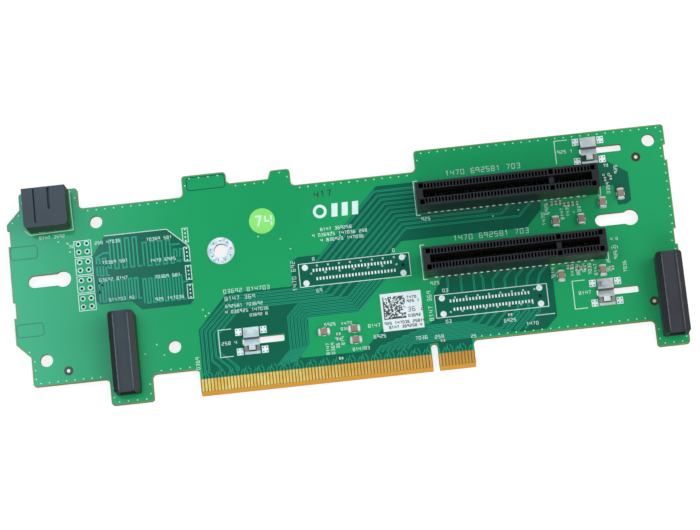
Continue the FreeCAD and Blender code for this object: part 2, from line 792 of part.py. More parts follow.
# Copper around the probe holes and around the grounding hole, lying on the component side.
pads = new_body("coupon_pads", z="Dim.board_thickness")
sketch = new_sketch(pads, "coupon_pad_plan", "XY_Plane")
for hole_x, hole_y in COUPON_PLACES:
    add_circle(sketch, hole_x, hole_y, "Dim.coupon_pad_diameter")
    add_circle(sketch, hole_x, hole_y, "Dim.coupon_hole_diameter")
group = add_pad(pads, sketch, "coupon_pad_group", "Dim.copper_thickness")
add_row(pads, group, "coupon_pad_column", "Y_Axis", "Dim.coupon_spacing", "Dim.coupon_count")

ring = new_body("grounding_ring", "0 - Dim.ring_x", "Dim.ring_y", "Dim.board_thickness")
sketch = new_sketch(ring, "ring_plan", "XY_Plane")
add_circle(sketch, "0", "0", "Dim.ring_diameter")
add_circle(sketch, "0", "0", "Dim.ring_hole_diameter")
add_pad(ring, sketch, "ring_copper", "Dim.copper_thickness")

# Gold contact fingers, one row on each face of the tongue.
for face_name, face_z in (("front", "Dim.board_thickness"), ("back", "0 - Dim.finger_thickness")):
    fingers = new_body("edge_fingers_" + face_name, z=face_z)
    for row_name, sign, count in (("long", "0 - ", "Dim.finger_count_long"),
                                  ("short", "", "Dim.finger_count_short")):
        sketch = new_sketch(fingers, row_name + "_finger_plan", "XY_Plane")
        middle = sign + "Dim.finger_first"
        add_rectangle(sketch, middle + " - Dim.finger_width / 2", middle + " + Dim.finger_width / 2",
                      "Dim.finger_low", "Dim.finger_high")
        finger = add_pad(fingers, sketch, row_name + "_finger", "Dim.finger_thickness")
        add_row(fingers, finger, row_name + "_fingers", "X_Axis", "Dim.finger_pitch", count,
                sign == "0 - ")

# Card slot housings: glass-filled nylon mouldings for cards up to eight lanes. Each stands on
# two end feet and locates by two round posts. The card groove is open at the top with sloped
# lips, a key bar divides it, and every contact has its own cell with a thin rib beside it. A
# narrow rim runs along the top between the groove and the cells, which join below it.
CELL_OUT = "(Dim.groove_width / 2 + Dim.cell_depth)"
CELL_TOP_IN = "(Dim.groove_width / 2 + Dim.groove_lip + Dim.cell_rim)"
CELL_LOW_IN = "(Dim.groove_width / 2 - 0.1)"
RIM_LOW = "(Dim.slot_height - Dim.groove_lip_depth)"
HOUSING_LEFT = "(0 - " + SLOT_LONG + " - Dim.slot_end_wall)"
HOUSING_RIGHT = "(" + SLOT_SHORT + " + Dim.slot_end_wall)"
GROOVE_LEFT = "(0 - " + SLOT_LONG + " - Dim.groove_end_margin)"
GROOVE_RIGHT = "(" + SLOT_SHORT + " + Dim.groove_end_margin)"
housing = new_body("upper_slot_housing", "Dim.slot_key_x", SLOTS[0][1], "Dim.board_thickness")
half_width = "Dim.slot_width / 2"
sketch = new_sketch(housing, "block_plan", "XY_Plane")
add_rectangle(sketch, HOUSING_LEFT, HOUSING_RIGHT, "0 - " + half_width, half_width)
block = add_pad(housing, sketch, "block", "Dim.slot_height")
add_fillet(housing, block, "block_corners", [
    (HOUSING_LEFT, "0 - " + half_width),
    (HOUSING_RIGHT, "0 - " + half_width),
    (HOUSING_RIGHT, half_width),
    (HOUSING_LEFT, half_width),
], "Dim.housing_corner_radius")

sketch = new_sketch(housing, "underside_plan", "XY_Plane")
add_rectangle(sketch, HOUSING_LEFT + " + Dim.housing_foot_length", HOUSING_RIGHT + " - Dim.housing_foot_length",
              "0 - " + half_width + " - 1", half_width + " + 1")
add_pocket(housing, sketch, "underside_relief", "Dim.housing_standoff", backwards=True)

# Hollows that keep the moulding's walls even, at both ends and beside the key bar.
sketch = new_sketch(housing, "core_pocket_plan", "XY_Plane", "Dim.slot_height")
for pocket_x in (HOUSING_LEFT + " + Dim.core_pocket_inset", "0 - Dim.core_pocket_length / 2",
                 HOUSING_RIGHT + " - Dim.core_pocket_inset - Dim.core_pocket_length"):
    for pocket_y in ("Dim.core_pocket_y", "0 - Dim.core_pocket_y"):
        add_rectangle(sketch, pocket_x, pocket_x + " + Dim.core_pocket_length",
                      pocket_y + " - Dim.core_pocket_width / 2", pocket_y + " + Dim.core_pocket_width / 2")
add_pocket(housing, sketch, "core_pockets", "Dim.core_pocket_depth")

sketch = new_sketch(housing, "post_plan", "XY_Plane", "Dim.tail_channel_height")
for post_x in ("0", POST_FAR):
    add_circle(sketch, post_x, "0", "Dim.post_diameter")
add_pad(housing, sketch, "locating_posts", "Dim.tail_channel_height + Dim.board_thickness + Dim.back_reach",
        backwards=True)

sketch = new_sketch(housing, "tail_channel_plan", "XY_Plane", "0 - Dim.back_reach")
for left, right in (("0 - " + SLOT_LONG + " - Dim.cell_width / 2", "Dim.cell_width / 2 - Dim.contact_first"),
                    ("Dim.contact_first - Dim.cell_width / 2", SLOT_SHORT + " + Dim.cell_width / 2")):
    add_rectangle(sketch, left, right, "0 - Dim.tail_channel_half_width", "Dim.tail_channel_half_width")
add_pocket(housing, sketch, "tail_channel", "Dim.back_reach + Dim.tail_channel_height", backwards=True)

sketch = new_sketch(housing, "groove_plan", "XY_Plane", "Dim.slot_height")
for left, right in ((GROOVE_LEFT, "0 - Dim.key_bar_width / 2"), ("Dim.key_bar_width / 2", GROOVE_RIGHT)):
    add_rectangle(sketch, left, right, "0 - Dim.groove_width / 2", "Dim.groove_width / 2")
add_pocket(housing, sketch, "card_groove", "Dim.groove_depth")

sketch = new_sketch(housing, "lip_section", "YZ_Plane", GROOVE_RIGHT)
add_polygon(sketch, [
    ("0 - Dim.groove_width / 2 - Dim.groove_lip", "Dim.slot_height"),
    ("0 - Dim.groove_width / 2", "Dim.slot_height - Dim.groove_lip_depth"),
    ("Dim.groove_width / 2", "Dim.slot_height - Dim.groove_lip_depth"),
    ("Dim.groove_width / 2 + Dim.groove_lip", "Dim.slot_height"),
])
add_pocket(housing, sketch, "sloped_lips", GROOVE_RIGHT + " - " + GROOVE_LEFT)

for row_name, sign, count in (("long", "0 - ", "Dim.contact_count_long"),
                              ("short", "", "Dim.contact_count_short")):
    sketch = new_sketch(housing, row_name + "_cell_section", "YZ_Plane",
                        sign + "Dim.contact_first + Dim.cell_width / 2")
    for side in ("", "0 - "):
        add_polygon(sketch, [
            (side + CELL_TOP_IN, "Dim.slot_height"),
            (side + CELL_OUT, "Dim.slot_height"),
            (side + CELL_OUT, "0"),
            (side + CELL_LOW_IN, "0"),
            (side + CELL_LOW_IN, RIM_LOW),
            (side + CELL_TOP_IN, RIM_LOW),
        ])
    cell = add_pocket(housing, sketch, row_name + "_cell", "Dim.cell_width")
    add_row(housing, cell, row_name + "_cells", "X_Axis", "Dim.contact_pitch", count, sign == "0 - ")
copy_body(housing, "lower_slot_housing", "Dim.slot_key_x", SLOTS[1][1], "Dim.board_thickness")

# Slot contacts: stamped strips of gold-plated bronze, one in each cell. A strip stands against
# the outer wall of its cell, leans in to touch the card, and ends in a tail through the board.
# Tails step inwards and outwards by turns.


def strip_corners(tail_y, steps_inwards):
    """Corners of one contact strip in section, from its tail up to its tip and back."""
    half = "Dim.strip_thickness / 2"
    tail = "(" + tail_y + ")"
    upright = "(" + CELL_OUT + " - " + half + ")"
    foot = "0 - Dim.board_thickness - Dim.tail_reach"
    step_low = "Dim.strip_step_low"
    step_high = "(Dim.strip_step_low + Dim.strip_thickness)"
    touch_out = "Dim.strip_touch_y + " + half
    touch_in = "Dim.strip_touch_y - " + half
    outside = [(tail + " + " + half, foot)]
    inside = [(tail + " - " + half, foot)]
    if steps_inwards:
        outside += [(tail + " + " + half, step_low), (upright + " + " + half, step_low)]
        inside += [(tail + " - " + half, step_high), (upright + " - " + half, step_high)]
    else:
        outside += [(tail + " + " + half, step_high), (upright + " + " + half, step_high)]
        inside += [(tail + " - " + half, step_low), (upright + " - " + half, step_low)]
    outside += [
        (upright + " + " + half, "Dim.strip_bend_height"),
        (touch_out, "Dim.strip_touch_height"),
        ("Dim.strip_tip_y + " + half, "Dim.strip_tip_height"),
    ]
    inside += [
        (upright + " - " + half, "Dim.strip_bend_height"),
        (touch_in, "Dim.strip_touch_height"),
        ("Dim.strip_tip_y - " + half, "Dim.strip_tip_height"),
    ]
    return outside + inside[::-1]


contacts = new_body("upper_slot_contacts_a", "Dim.slot_key_x", SLOTS[0][1], "Dim.board_thickness")
for row_name, first_x, tail_y, count, backwards in TAIL_ROWS:
    sketch = new_sketch(contacts, row_name + "_section", "YZ_Plane", first_x + " - Dim.slot_key_x")
    add_polygon(sketch, strip_corners(tail_y, row_name.endswith("inner")))
    strip = add_pad(contacts, sketch, row_name + "_strip", "Dim.strip_width", symmetric=True)
    add_row(contacts, strip, row_name + "_strips", "X_Axis", "Dim.contact_pitch * 2", count, backwards)
below = copy_body(contacts, "lower_slot_contacts_a", "Dim.slot_key_x", SLOTS[1][1], "Dim.board_thickness")
for slot_name, source, slot_y in (("upper", contacts, SLOTS[0][1]), ("lower", below, SLOTS[1][1])):
    mirrored = doc.addObject("Part::Mirroring", slot_name + "_slot_contacts_b")
    mirrored.Label = slot_name + "_slot_contacts_b"
    mirrored.Source = source
    mirrored.Normal = FreeCAD.Vector(0, 1, 0)
    mirrored.setExpression("Base.y", slot_y)
    nodes.append(mirrored)

# Spring clips: bent from tinned steel sheet. Each bridges its slot with a channel pressed down
# between two crests, and slopes to a flat foot on either side. The lower slope has a window
# with a tongue over it, and the upper slope has a raised round boss.
CREST = "Dim.clip_crest_height"
CREST_LOW = "(Dim.clip_crest_height - Dim.clip_sheet)"
CHANNEL_LOW = "(0 - Dim.clip_channel_drop)"
half_profile = [
    ("Dim.clip_channel_floor", CHANNEL_LOW + " + Dim.clip_sheet"),
    ("Dim.clip_crest_inner - Dim.clip_sheet / 2", CREST),
    ("Dim.clip_crest_outer", CREST),
    ("Dim.clip_slope_foot", "Dim.clip_sheet"),
    ("Dim.clip_foot_end", "Dim.clip_sheet"),
    ("Dim.clip_foot_end", "0"),
    ("Dim.clip_slope_foot + Dim.clip_sheet / 4", "0"),
    ("Dim.clip_crest_outer - Dim.clip_sheet / 4", CREST_LOW),
    ("Dim.clip_crest_inner + Dim.clip_sheet / 2", CREST_LOW),
    ("Dim.clip_channel_floor + Dim.clip_sheet", CHANNEL_LOW),
]
for clip_name, clip_x, clip_y in CLIPS:
    clip = new_body(clip_name + "_spring_clip", clip_x, clip_y, "Dim.board_thickness")
    sketch = new_sketch(clip, "clip_section", "YZ_Plane")
    add_polygon(sketch, half_profile + [("0 - (" + y + ")", z) for y, z in half_profile[::-1]])
    add_pad(clip, sketch, "bent_sheet", "Dim.clip_width", symmetric=True)
    sketch = new_sketch(clip, "window_plan", "XY_Plane", CREST)
    add_polygon(sketch, [
        ("0 - Dim.clip_window_wide / 2", "0 - Dim.clip_crest_outer"),
        ("Dim.clip_window_wide / 2", "0 - Dim.clip_crest_outer"),
        ("Dim.clip_window_narrow / 2", "0 - Dim.clip_window_low"),
        ("0 - Dim.clip_window_narrow / 2", "0 - Dim.clip_window_low"),
    ])
    add_pocket(clip, sketch, "window", CREST)
    sketch = new_sketch(clip, "tongue_section", "YZ_Plane")
    add_polygon(sketch, [
        ("0 - Dim.clip_crest_inner - Dim.clip_sheet", CREST),
        ("0 - Dim.clip_crest_outer", CREST),
        ("0 - Dim.clip_window_low + Dim.clip_sheet", CREST + " - Dim.clip_tongue_drop"),
        ("0 - Dim.clip_window_low + Dim.clip_sheet", CREST + " - Dim.clip_tongue_drop - Dim.clip_sheet"),
        ("0 - Dim.clip_crest_outer", CREST_LOW),
        ("0 - Dim.clip_crest_inner - Dim.clip_sheet", CREST_LOW),
    ])
    add_pad(clip, sketch, "tongue", "Dim.clip_tongue_width", symmetric=True)
    sketch = new_sketch(clip, "boss_plan", "XY_Plane", "Dim.clip_boss_height")
    add_circle(sketch, "0", "Dim.clip_boss_y", "Dim.clip_boss_diameter")
    add_pad(clip, sketch, "boss", "Dim.clip_boss_height - Dim.clip_sheet * 1.5", backwards=True)

# The clips' solder pads, four to a clip, just outside the clip's own foot.
pads = new_body("clip_solder_pads", z="Dim.board_thickness")
sketch = new_sketch(pads, "clip_pad_plan", "XY_Plane")
for clip_name, clip_x, clip_y in CLIPS:
    for across in (" + Dim.clip_pad_x", " - Dim.clip_pad_x"):
        for up in (" + Dim.clip_pad_y", " - Dim.clip_pad_y"):
            pad_x = clip_x + across
            pad_y = clip_y + up
            add_rectangle(sketch, pad_x + " - Dim.clip_pad_width / 2", pad_x + " + Dim.clip_pad_width / 2",
                          pad_y + " - Dim.clip_pad_height / 2", pad_y + " + Dim.clip_pad_height / 2")
add_pad(pads, sketch, "clip_pads", "Dim.copper_thickness")

# Guide blocks: black mouldings with bevelled shoulders and a bead along each edge of the top
# panel. The front end is open, and takes a guide post. The pegs are staked over on the back.
for guide_name, guide_x in GUIDES:
    guide = new_body(guide_name + "_guide_block", guide_x, "Dim.guide_front_y", "Dim.board_thickness")
    bead_out = "(Dim.guide_width / 2 - Dim.guide_bevel)"
    bead_in = "(" + bead_out + " - Dim.guide_bead_width)"
    half_profile = [
        ("Dim.guide_width / 2", "0"),
        ("Dim.guide_width / 2", "Dim.guide_height - Dim.guide_bevel"),
        (bead_out, "Dim.guide_height - Dim.guide_bead_height"),
        (bead_out, "Dim.guide_height"),
        (bead_in, "Dim.guide_height"),
        (bead_in, "Dim.guide_height - Dim.guide_bead_height"),
    ]
    sketch = new_sketch(guide, "guide_section", "XZ_Plane")
    add_polygon(sketch, half_profile + [("0 - (" + x + ")", z) for x, z in half_profile[::-1]])
    shell = add_pad(guide, sketch, "shell", "Dim.guide_length", backwards=True)
    add_fillet(guide, shell, "shell_corners", [
        ("Dim.guide_width / 2", "0"),
        ("0 - Dim.guide_width / 2", "0"),
        ("Dim.guide_width / 2", "Dim.guide_length"),
        ("0 - Dim.guide_width / 2", "Dim.guide_length"),
    ], "Dim.guide_corner_radius")
    sketch = new_sketch(guide, "socket_section", "XZ_Plane")
    add_rectangle(sketch, "0 - Dim.guide_socket_width / 2", "Dim.guide_socket_width / 2",
                  "Dim.guide_socket_low", "Dim.guide_socket_low + Dim.guide_socket_height")
    add_pocket(guide, sketch, "socket", "Dim.guide_socket_depth", backwards=False)
    sketch = new_sketch(guide, "peg_plan", "XY_Plane")
    for peg_y in PEGS:
        add_circle(sketch, "0", peg_y, "Dim.peg_diameter")
    add_pad(guide, sketch, "pegs", "Dim.board_thickness + 0.1", backwards=True)
    sketch = new_sketch(guide, "peg_head_plan", "XY_Plane", "0 - Dim.board_thickness")
    for peg_y in PEGS:
        add_circle(sketch, "0", peg_y, "Dim.peg_head_diameter")
    add_pad(guide, sketch, "peg_heads", "Dim.back_reach", backwards=True)

# Cable header: a black shroud that opens over the top edge of the board, with four square
# pins that bend down through the board behind it.
header = new_body("cable_header_housing", HEADER_MIDDLE, "Dim.header_y", "Dim.board_thickness")
half_width = "Dim.header_width / 2"
chamfer = "Dim.header_corner_chamfer"
sketch = new_sketch(header, "shroud_plan", "XY_Plane")
add_polygon(sketch, [
    ("0 - " + half_width + " + " + chamfer, "0"),
    (half_width + " - " + chamfer, "0"),
    (half_width, chamfer),
    (half_width, "Dim.header_length"),
    ("0 - " + half_width, "Dim.header_length"),
    ("0 - " + half_width, chamfer),
])
add_pad(header, sketch, "shroud", "Dim.header_height")
sketch = new_sketch(header, "mouth_section", "XZ_Plane", "0 - Dim.header_length")
add_rectangle(sketch, "0 - " + half_width + " + Dim.header_wall", half_width + " - Dim.header_wall",
              "Dim.header_floor", "Dim.header_height - Dim.header_wall")
add_pocket(header, sketch, "mouth", "Dim.header_mouth_depth", backwards=True)
sketch = new_sketch(header, "groove_plan", "XY_Plane", "Dim.header_height")
groove_left = "0 - " + half_width + " + Dim.header_groove_inset"
add_rectangle(sketch, groove_left, groove_left + " + Dim.header_groove_width",
              "Dim.header_floor", "Dim.header_length - Dim.header_groove_width")
add_pocket(header, sketch, "long_groove", "Dim.header_groove_depth")
sketch = new_sketch(header, "slot_plan", "XY_Plane", "Dim.header_height")
slot_left = "0 - " + half_width + " + Dim.header_slot_inset"
add_rectangle(sketch, slot_left, slot_left + " + Dim.header_slot_width",
              "Dim.header_slot_start", "Dim.header_length - Dim.header_groove_width")
add_pocket(header, sketch, "latch_slot", "Dim.header_groove_depth")
sketch = new_sketch(header, "pin_chamber_plan", "XY_Plane")
add_rectangle(sketch, FIRST_PIN + " - Dim.header_pin_size", "0 - " + FIRST_PIN + " + Dim.header_pin_size",
              "Dim.header_pin_y - Dim.header_pin_size", "Dim.header_pin_y + Dim.header_pin_size")
add_pocket(header, sketch, "pin_chamber", "Dim.header_pin_height + Dim.header_pin_size", backwards=True)
sketch = new_sketch(header, "pin_hole_section", "XZ_Plane", "0 - Dim.header_length")
add_rectangle(sketch, FIRST_PIN + " - Dim.header_pin_size / 2", FIRST_PIN + " + Dim.header_pin_size / 2",
              "Dim.header_pin_height - Dim.header_pin_size / 2", "Dim.header_pin_height + Dim.header_pin_size / 2")
pin_hole = add_pocket(header, sketch, "pin_hole", "Dim.header_length - Dim.header_pin_y", backwards=True)
add_row(header, pin_hole, "pin_holes", "X_Axis", "Dim.header_pin_pitch", "Dim.header_pin_count")

pins = new_body("cable_header_pins", HEADER_MIDDLE, "Dim.header_y", "Dim.board_thickness")
sketch = new_sketch(pins, "pin_section", "YZ_Plane", FIRST_PIN)
pin_low = "Dim.header_pin_height - Dim.header_pin_size / 2"
pin_high = "Dim.header_pin_height + Dim.header_pin_size / 2"
pin_tip = "Dim.header_length - Dim.header_mouth_depth + Dim.header_pin_length"
add_polygon(sketch, [
    ("Dim.header_pin_y - Dim.header_pin_size / 2", "0 - Dim.board_thickness - Dim.tail_reach"),
    ("Dim.header_pin_y + Dim.header_pin_size / 2", "0 - Dim.board_thickness - Dim.tail_reach"),
    ("Dim.header_pin_y + Dim.header_pin_size / 2", pin_low),
    (pin_tip, pin_low),
    (pin_tip, pin_high),
    ("Dim.header_pin_y - Dim.header_pin_size / 2", pin_high),
])
pin = add_pad(pins, sketch, "pin", "Dim.header_pin_size", symmetric=True)
add_row(pins, pin, "pin_row", "X_Axis", "Dim.header_pin_pitch", "Dim.header_pin_count")

# Two unfilled connector footprints: two rows of narrow pads between four round anchor pads.
FOOTPRINTS = (
    ("left", "0 - Dim.footprint_left_x", "Dim.footprint_left_y"),
    ("right", "Dim.footprint_right_x", "Dim.footprint_right_y"),
)
for footprint_name, footprint_x, footprint_y in FOOTPRINTS:
    pads = new_body(footprint_name + "_footprint_pads", footprint_x, footprint_y, "Dim.board_thickness")
    sketch = new_sketch(pads, "anchor_plan", "XY_Plane")
    for across in ("Dim.footprint_anchor_x", "0 - Dim.footprint_anchor_x"):
        for up in ("Dim.footprint_anchor_y", "0 - Dim.footprint_anchor_y"):
            add_circle(sketch, across, up, "Dim.footprint_anchor_diameter")
    add_pad(pads, sketch, "anchor_pads", "Dim.copper_thickness")
    for row_name, first_x, row_y in (
            ("upper", "0 - Dim.footprint_row_start", "Dim.footprint_row_y"),
            ("lower", "Dim.footprint_row_shift - Dim.footprint_row_start", "0 - Dim.footprint_row_y")):
        sketch = new_sketch(pads, row_name + "_pad_plan", "XY_Plane")
        add_rectangle(sketch, first_x + " - Dim.footprint_pad_width / 2", first_x + " + Dim.footprint_pad_width / 2",
                      row_y + " - Dim.footprint_pad_length / 2", row_y + " + Dim.footprint_pad_length / 2")
        first = add_pad(pads, sketch, row_name + "_pad", "Dim.copper_thickness")
        add_row(pads, first, row_name + "_pads", "X_Axis", "Dim.footprint_pitch", "Dim.footprint_count")

# Ceramic chips: a fired body between two plated ends. Each is soldered flat on the board.
def add_box(name, middle_x, middle_y, size_x, size_y, size_z):
    """A box on the solder film, centred on a place in the plan."""
    box = doc.addObject("Part::Box", name)
    box.setExpression("Length", size_x)
    box.setExpression("Width", size_y)
    box.setExpression("Height", size_z)
    place(box, middle_x + " - (" + size_x + ") / 2", middle_y + " - (" + size_y + ") / 2", "Dim.board_thickness")
    return box


for case, group_name, chips in (("bulk", "bulk_capacitor", BULK_CHIPS), ("small", "small_chip", SMALL_CHIPS)):
    bodies = []
    ends = []
    length = "Dim.%s_length" % case
    end = "Dim.%s_end" % case
    middle = "(%s - %s * 2)" % (length, end)
    for index, chip in enumerate(chips):
        label = "%s%d" % (case, index + 1)
        place_x = "Dim.%s_across%d" % (case, index + 1)
        place_y = "Dim.%s_up%d" % (case, index + 1)
        width = "Dim.%s_width" % case
        height = "Dim.%s_height" % case
        shift = "(%s - %s) / 2" % (length, end)
        if chip[2] == "across":
            bodies.append(add_box(label + "_body", place_x, place_y, middle, width, height))
            for side, sign in (("near", " - "), ("far", " + ")):
                ends.append(add_box(label + "_" + side, place_x + sign + shift, place_y, end, width, height))
        else:
            bodies.append(add_box(label + "_body", place_x, place_y, width, middle, height))
            for side, sign in (("near", " - "), ("far", " + ")):
                ends.append(add_box(label + "_" + side, place_x, place_y + sign + shift, width, end, height))
    for suffix, boxes in (("_bodies", bodies), ("_ends", ends)):
        gathered = doc.addObject("Part::Compound", group_name + suffix)
        gathered.Label = group_name + suffix
        gathered.Links = boxes
        nodes.append(gathered)

# A square serial label and a round inspection sticker, both of thin film.
label = new_body("serial_label", "0 - Dim.label_x", "Dim.label_y", "Dim.board_thickness")
label.setExpression("Placement.Rotation.Angle", "Dim.label_turn_degrees * 1deg")
sketch = new_sketch(label, "label_plan", "XY_Plane")
add_rectangle(sketch, "0 - Dim.label_width / 2", "Dim.label_width / 2",
              "0 - Dim.label_height / 2", "Dim.label_height / 2")
add_pad(label, sketch, "label_film", "Dim.film_thickness")
sticker = doc.addObject("Part::Cylinder", "inspection_sticker")
sticker.Label = "inspection_sticker"
sticker.setExpression("Radius", "Dim.sticker_diameter / 2")
sticker.setExpression("Height", "Dim.film_thickness")
place(sticker, "0 - Dim.sticker_x", "Dim.sticker_y", "Dim.board_thickness")
nodes.append(sticker)

# Every object must have been made, every cut must have cut, and every sub-part must be sound.
doc.recompute()
for item in doc.Objects:
    if "Invalid" in item.State or "Error" in item.State:
        raise RuntimeError("failed: " + item.Name + " " + str(item.State))
    if item.TypeId == "PartDesign::Pocket":
        before = item.BaseFeature.Shape.Volume
        if item.Shape.Volume > before - 1e-4:
            raise RuntimeError("cuts nothing: " + item.Label)
os.makedirs("parts", exist_ok=True)
for node in nodes:
    if node.Shape.isNull() or not node.Shape.isValid():
        raise RuntimeError("unsound: " + node.Label)
    node.Shape.exportStep("parts/" + node.Label + ".step")
    print(node.Label, len(node.Shape.Solids), round(node.Shape.Volume, 3))
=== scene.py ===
# Riser card for a rack server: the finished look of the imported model, in metres.
import bpy
import bmesh
import math
import random
from mathutils import Matrix, Vector


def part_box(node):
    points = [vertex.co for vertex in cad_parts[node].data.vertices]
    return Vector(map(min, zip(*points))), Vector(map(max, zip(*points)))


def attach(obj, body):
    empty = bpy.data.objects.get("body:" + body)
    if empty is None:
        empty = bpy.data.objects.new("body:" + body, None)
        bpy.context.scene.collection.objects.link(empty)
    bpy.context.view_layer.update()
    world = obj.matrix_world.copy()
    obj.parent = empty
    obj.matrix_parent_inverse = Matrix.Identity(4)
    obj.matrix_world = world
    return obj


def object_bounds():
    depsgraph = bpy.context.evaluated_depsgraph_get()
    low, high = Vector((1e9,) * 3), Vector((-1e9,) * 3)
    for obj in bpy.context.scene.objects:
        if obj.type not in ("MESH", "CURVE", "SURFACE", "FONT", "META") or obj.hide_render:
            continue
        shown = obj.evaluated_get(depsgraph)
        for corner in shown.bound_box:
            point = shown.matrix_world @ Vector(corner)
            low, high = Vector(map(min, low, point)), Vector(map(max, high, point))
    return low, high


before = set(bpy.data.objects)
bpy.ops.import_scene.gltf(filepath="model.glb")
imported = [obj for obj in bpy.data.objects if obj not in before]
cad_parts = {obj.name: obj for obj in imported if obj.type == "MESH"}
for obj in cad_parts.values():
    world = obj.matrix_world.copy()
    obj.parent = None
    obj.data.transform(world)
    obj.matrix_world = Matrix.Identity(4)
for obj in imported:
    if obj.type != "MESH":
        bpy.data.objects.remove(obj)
cad_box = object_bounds()

# Where the card is seen from: a long lens high above the component side, a little towards the
# gold fingers, with a plain white table under the card.
MM = 0.001
BOARD_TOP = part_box("serial_label")[0][2]
TONGUE_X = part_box("edge_fingers_front")[0][0] - 0.3 * MM


def put(name, data):
    """A new object in the scene that holds the given data."""
    item = bpy.data.objects.new(name, data)
    bpy.context.scene.collection.objects.link(item)
    return item


camera_data = bpy.data.cameras.new("camera")
camera_data.lens = 140.26
camera_data.sensor_width = 36.0
camera_data.shift_x = -0.0197
camera_data.shift_y = -0.0160
camera_data.clip_start = 0.05
camera_data.clip_end = 20.0
camera = put("camera", camera_data)
right = Vector((0.99400615, -0.10341421, -0.03545814))
up = Vector((0.10825481, 0.97632761, 0.1872573))
back = Vector((0.01525369, -0.18997342, 0.98167073))
place = Vector((TONGUE_X + 66.54 * MM, -120.93 * MM, BOARD_TOP + 824.19 * MM))
camera.matrix_world = Matrix(((right.x, up.x, back.x, place.x), (right.y, up.y, back.y, place.y),
                              (right.z, up.z, back.z, place.z), (0, 0, 0, 1)))
bpy.context.scene.camera = camera
bpy.context.scene.view_settings.view_transform = "Standard"


# The studio: a matt white table, a pale room with a darker patch of ceiling, a lit sheet overhead
# and two softboxes. All of it is stage and no part of the card.
def new_material(name):
    """A node material: returns it with its node tree and its Principled shader."""
    made = bpy.data.materials.new(name)
    made.use_nodes = True
    return made, made.node_tree, made.node_tree.nodes["Principled BSDF"]


def feed(tree, node, inputs):
    """Sets a node's inputs to values, or links them to other nodes' outputs."""
    for socket, value in inputs.items():
        if isinstance(value, bpy.types.NodeSocket):
            tree.links.new(value, node.inputs[socket])
        else:
            node.inputs[socket].default_value = value


def wired(tree, kind, inputs=None, **settings):
    """A new node of one kind with its settings and its inputs."""
    node = tree.nodes.new(kind)
    for setting, value in settings.items():
        setattr(node, setting, value)
    feed(tree, node, inputs or {})
    return node


def worked(tree, operation, first, second=0.0, clamped=False):
    """The output of one step of arithmetic."""
    node = wired(tree, "ShaderNodeMath", {0: first, 1: second}, operation=operation, use_clamp=clamped)
    return node.outputs["Value"]


# The table shows nearly white to the camera and still holds the card's shadow.
table_material, tree, shader = new_material("table_white")
noise = wired(tree, "ShaderNodeTexNoise", {"Scale": 6.0})
ramp = wired(tree, "ShaderNodeValToRGB", {"Fac": noise.outputs["Fac"]})
ramp.color_ramp.elements[0].color = (0.29, 0.29, 0.29, 1)
ramp.color_ramp.elements[1].color = (0.32, 0.32, 0.32, 1)
light_path = wired(tree, "ShaderNodeLightPath")
feed(tree, shader, {
    "Base Color": ramp.outputs["Color"], "Roughness": 0.9, "Specular IOR Level": 0.0,
    "Emission Color": (1, 1, 1, 1),
    "Emission Strength": worked(tree, "MULTIPLY", light_path.outputs["Is Camera Ray"], 0.80),
})


def add_sheet(name, corners, material):
    """One flat face of the stage."""
    mesh = bpy.data.meshes.new(name)
    mesh.from_pydata(corners, [], [(0, 1, 2, 3)])
    mesh.materials.append(material)
    put(name, mesh)


TABLE_TOP = cad_box[0][2] - 0.2 * MM
add_sheet("table", [(x, y, TABLE_TOP) for x, y in ((-4, -4), (4, -4), (4, 4), (-4, 4))], table_material)


def spread_over(tree, value, low, high, low_out=0.0, high_out=1.0, **settings):
    """The output of a value stretched from one span to another."""
    node = wired(tree, "ShaderNodeMapRange", {"Value": value, "From Min": low, "From Max": high,
                                              "To Min": low_out, "To Max": high_out}, **settings)
    return node.outputs["Result"]


# The room is pale and lights the card from all sides. Glossy faces find it darker straight overhead.
world = bpy.data.worlds.new("studio")
bpy.context.scene.world = world
world.use_nodes = True
tree = world.node_tree
sky = tree.nodes["Background"]
path = wired(tree, "ShaderNodeLightPath").outputs
heading = wired(tree, "ShaderNodeTexCoord")
overhead = wired(tree, "ShaderNodeVectorMath", {0: heading.outputs["Generated"], 1: (-0.02, 0.19, 0.98)},
                 operation="DOT_PRODUCT")
dark_ceiling = spread_over(tree, overhead.outputs["Value"], 0.93, 0.97, 0.0, 0.50)
in_mirrors = worked(tree, "MULTIPLY", dark_ceiling, path["Is Glossy Ray"])
feed(tree, sky, {"Color": (0.92, 0.96, 1.0, 1), "Strength": worked(tree, "SUBTRACT", 0.60, in_mirrors)})
direct = worked(tree, "MAXIMUM", path["Is Camera Ray"], path["Is Transmission Ray"])
white = wired(tree, "ShaderNodeBackground", {"Color": (1, 1, 1, 1), "Strength": 1.0})
blend = wired(tree, "ShaderNodeMixShader", {"Fac": direct, 1: sky.outputs["Background"],
                                            2: white.outputs["Background"]})
feed(tree, tree.nodes["World Output"], {"Surface": blend.outputs["Shader"]})


def add_softbox(name, place, target, width, height, power):
    """A lit rectangle that faces a target."""
    light = bpy.data.lights.new(name, "AREA")
    light.shape = "RECTANGLE"
    light.size = width
    light.size_y = height
    light.energy = power
    lamp = put(name, light)
    lamp.location = place
    lamp.rotation_euler = (Vector(target) - Vector(place)).to_track_quat("-Z", "Y").to_euler()


def parted(tree, kind, output):
    """The X, Y and Z of a place or a direction that a node puts out."""
    source = wired(tree, kind)
    return wired(tree, "ShaderNodeSeparateXYZ", {"Vector": source.outputs[output]}).outputs


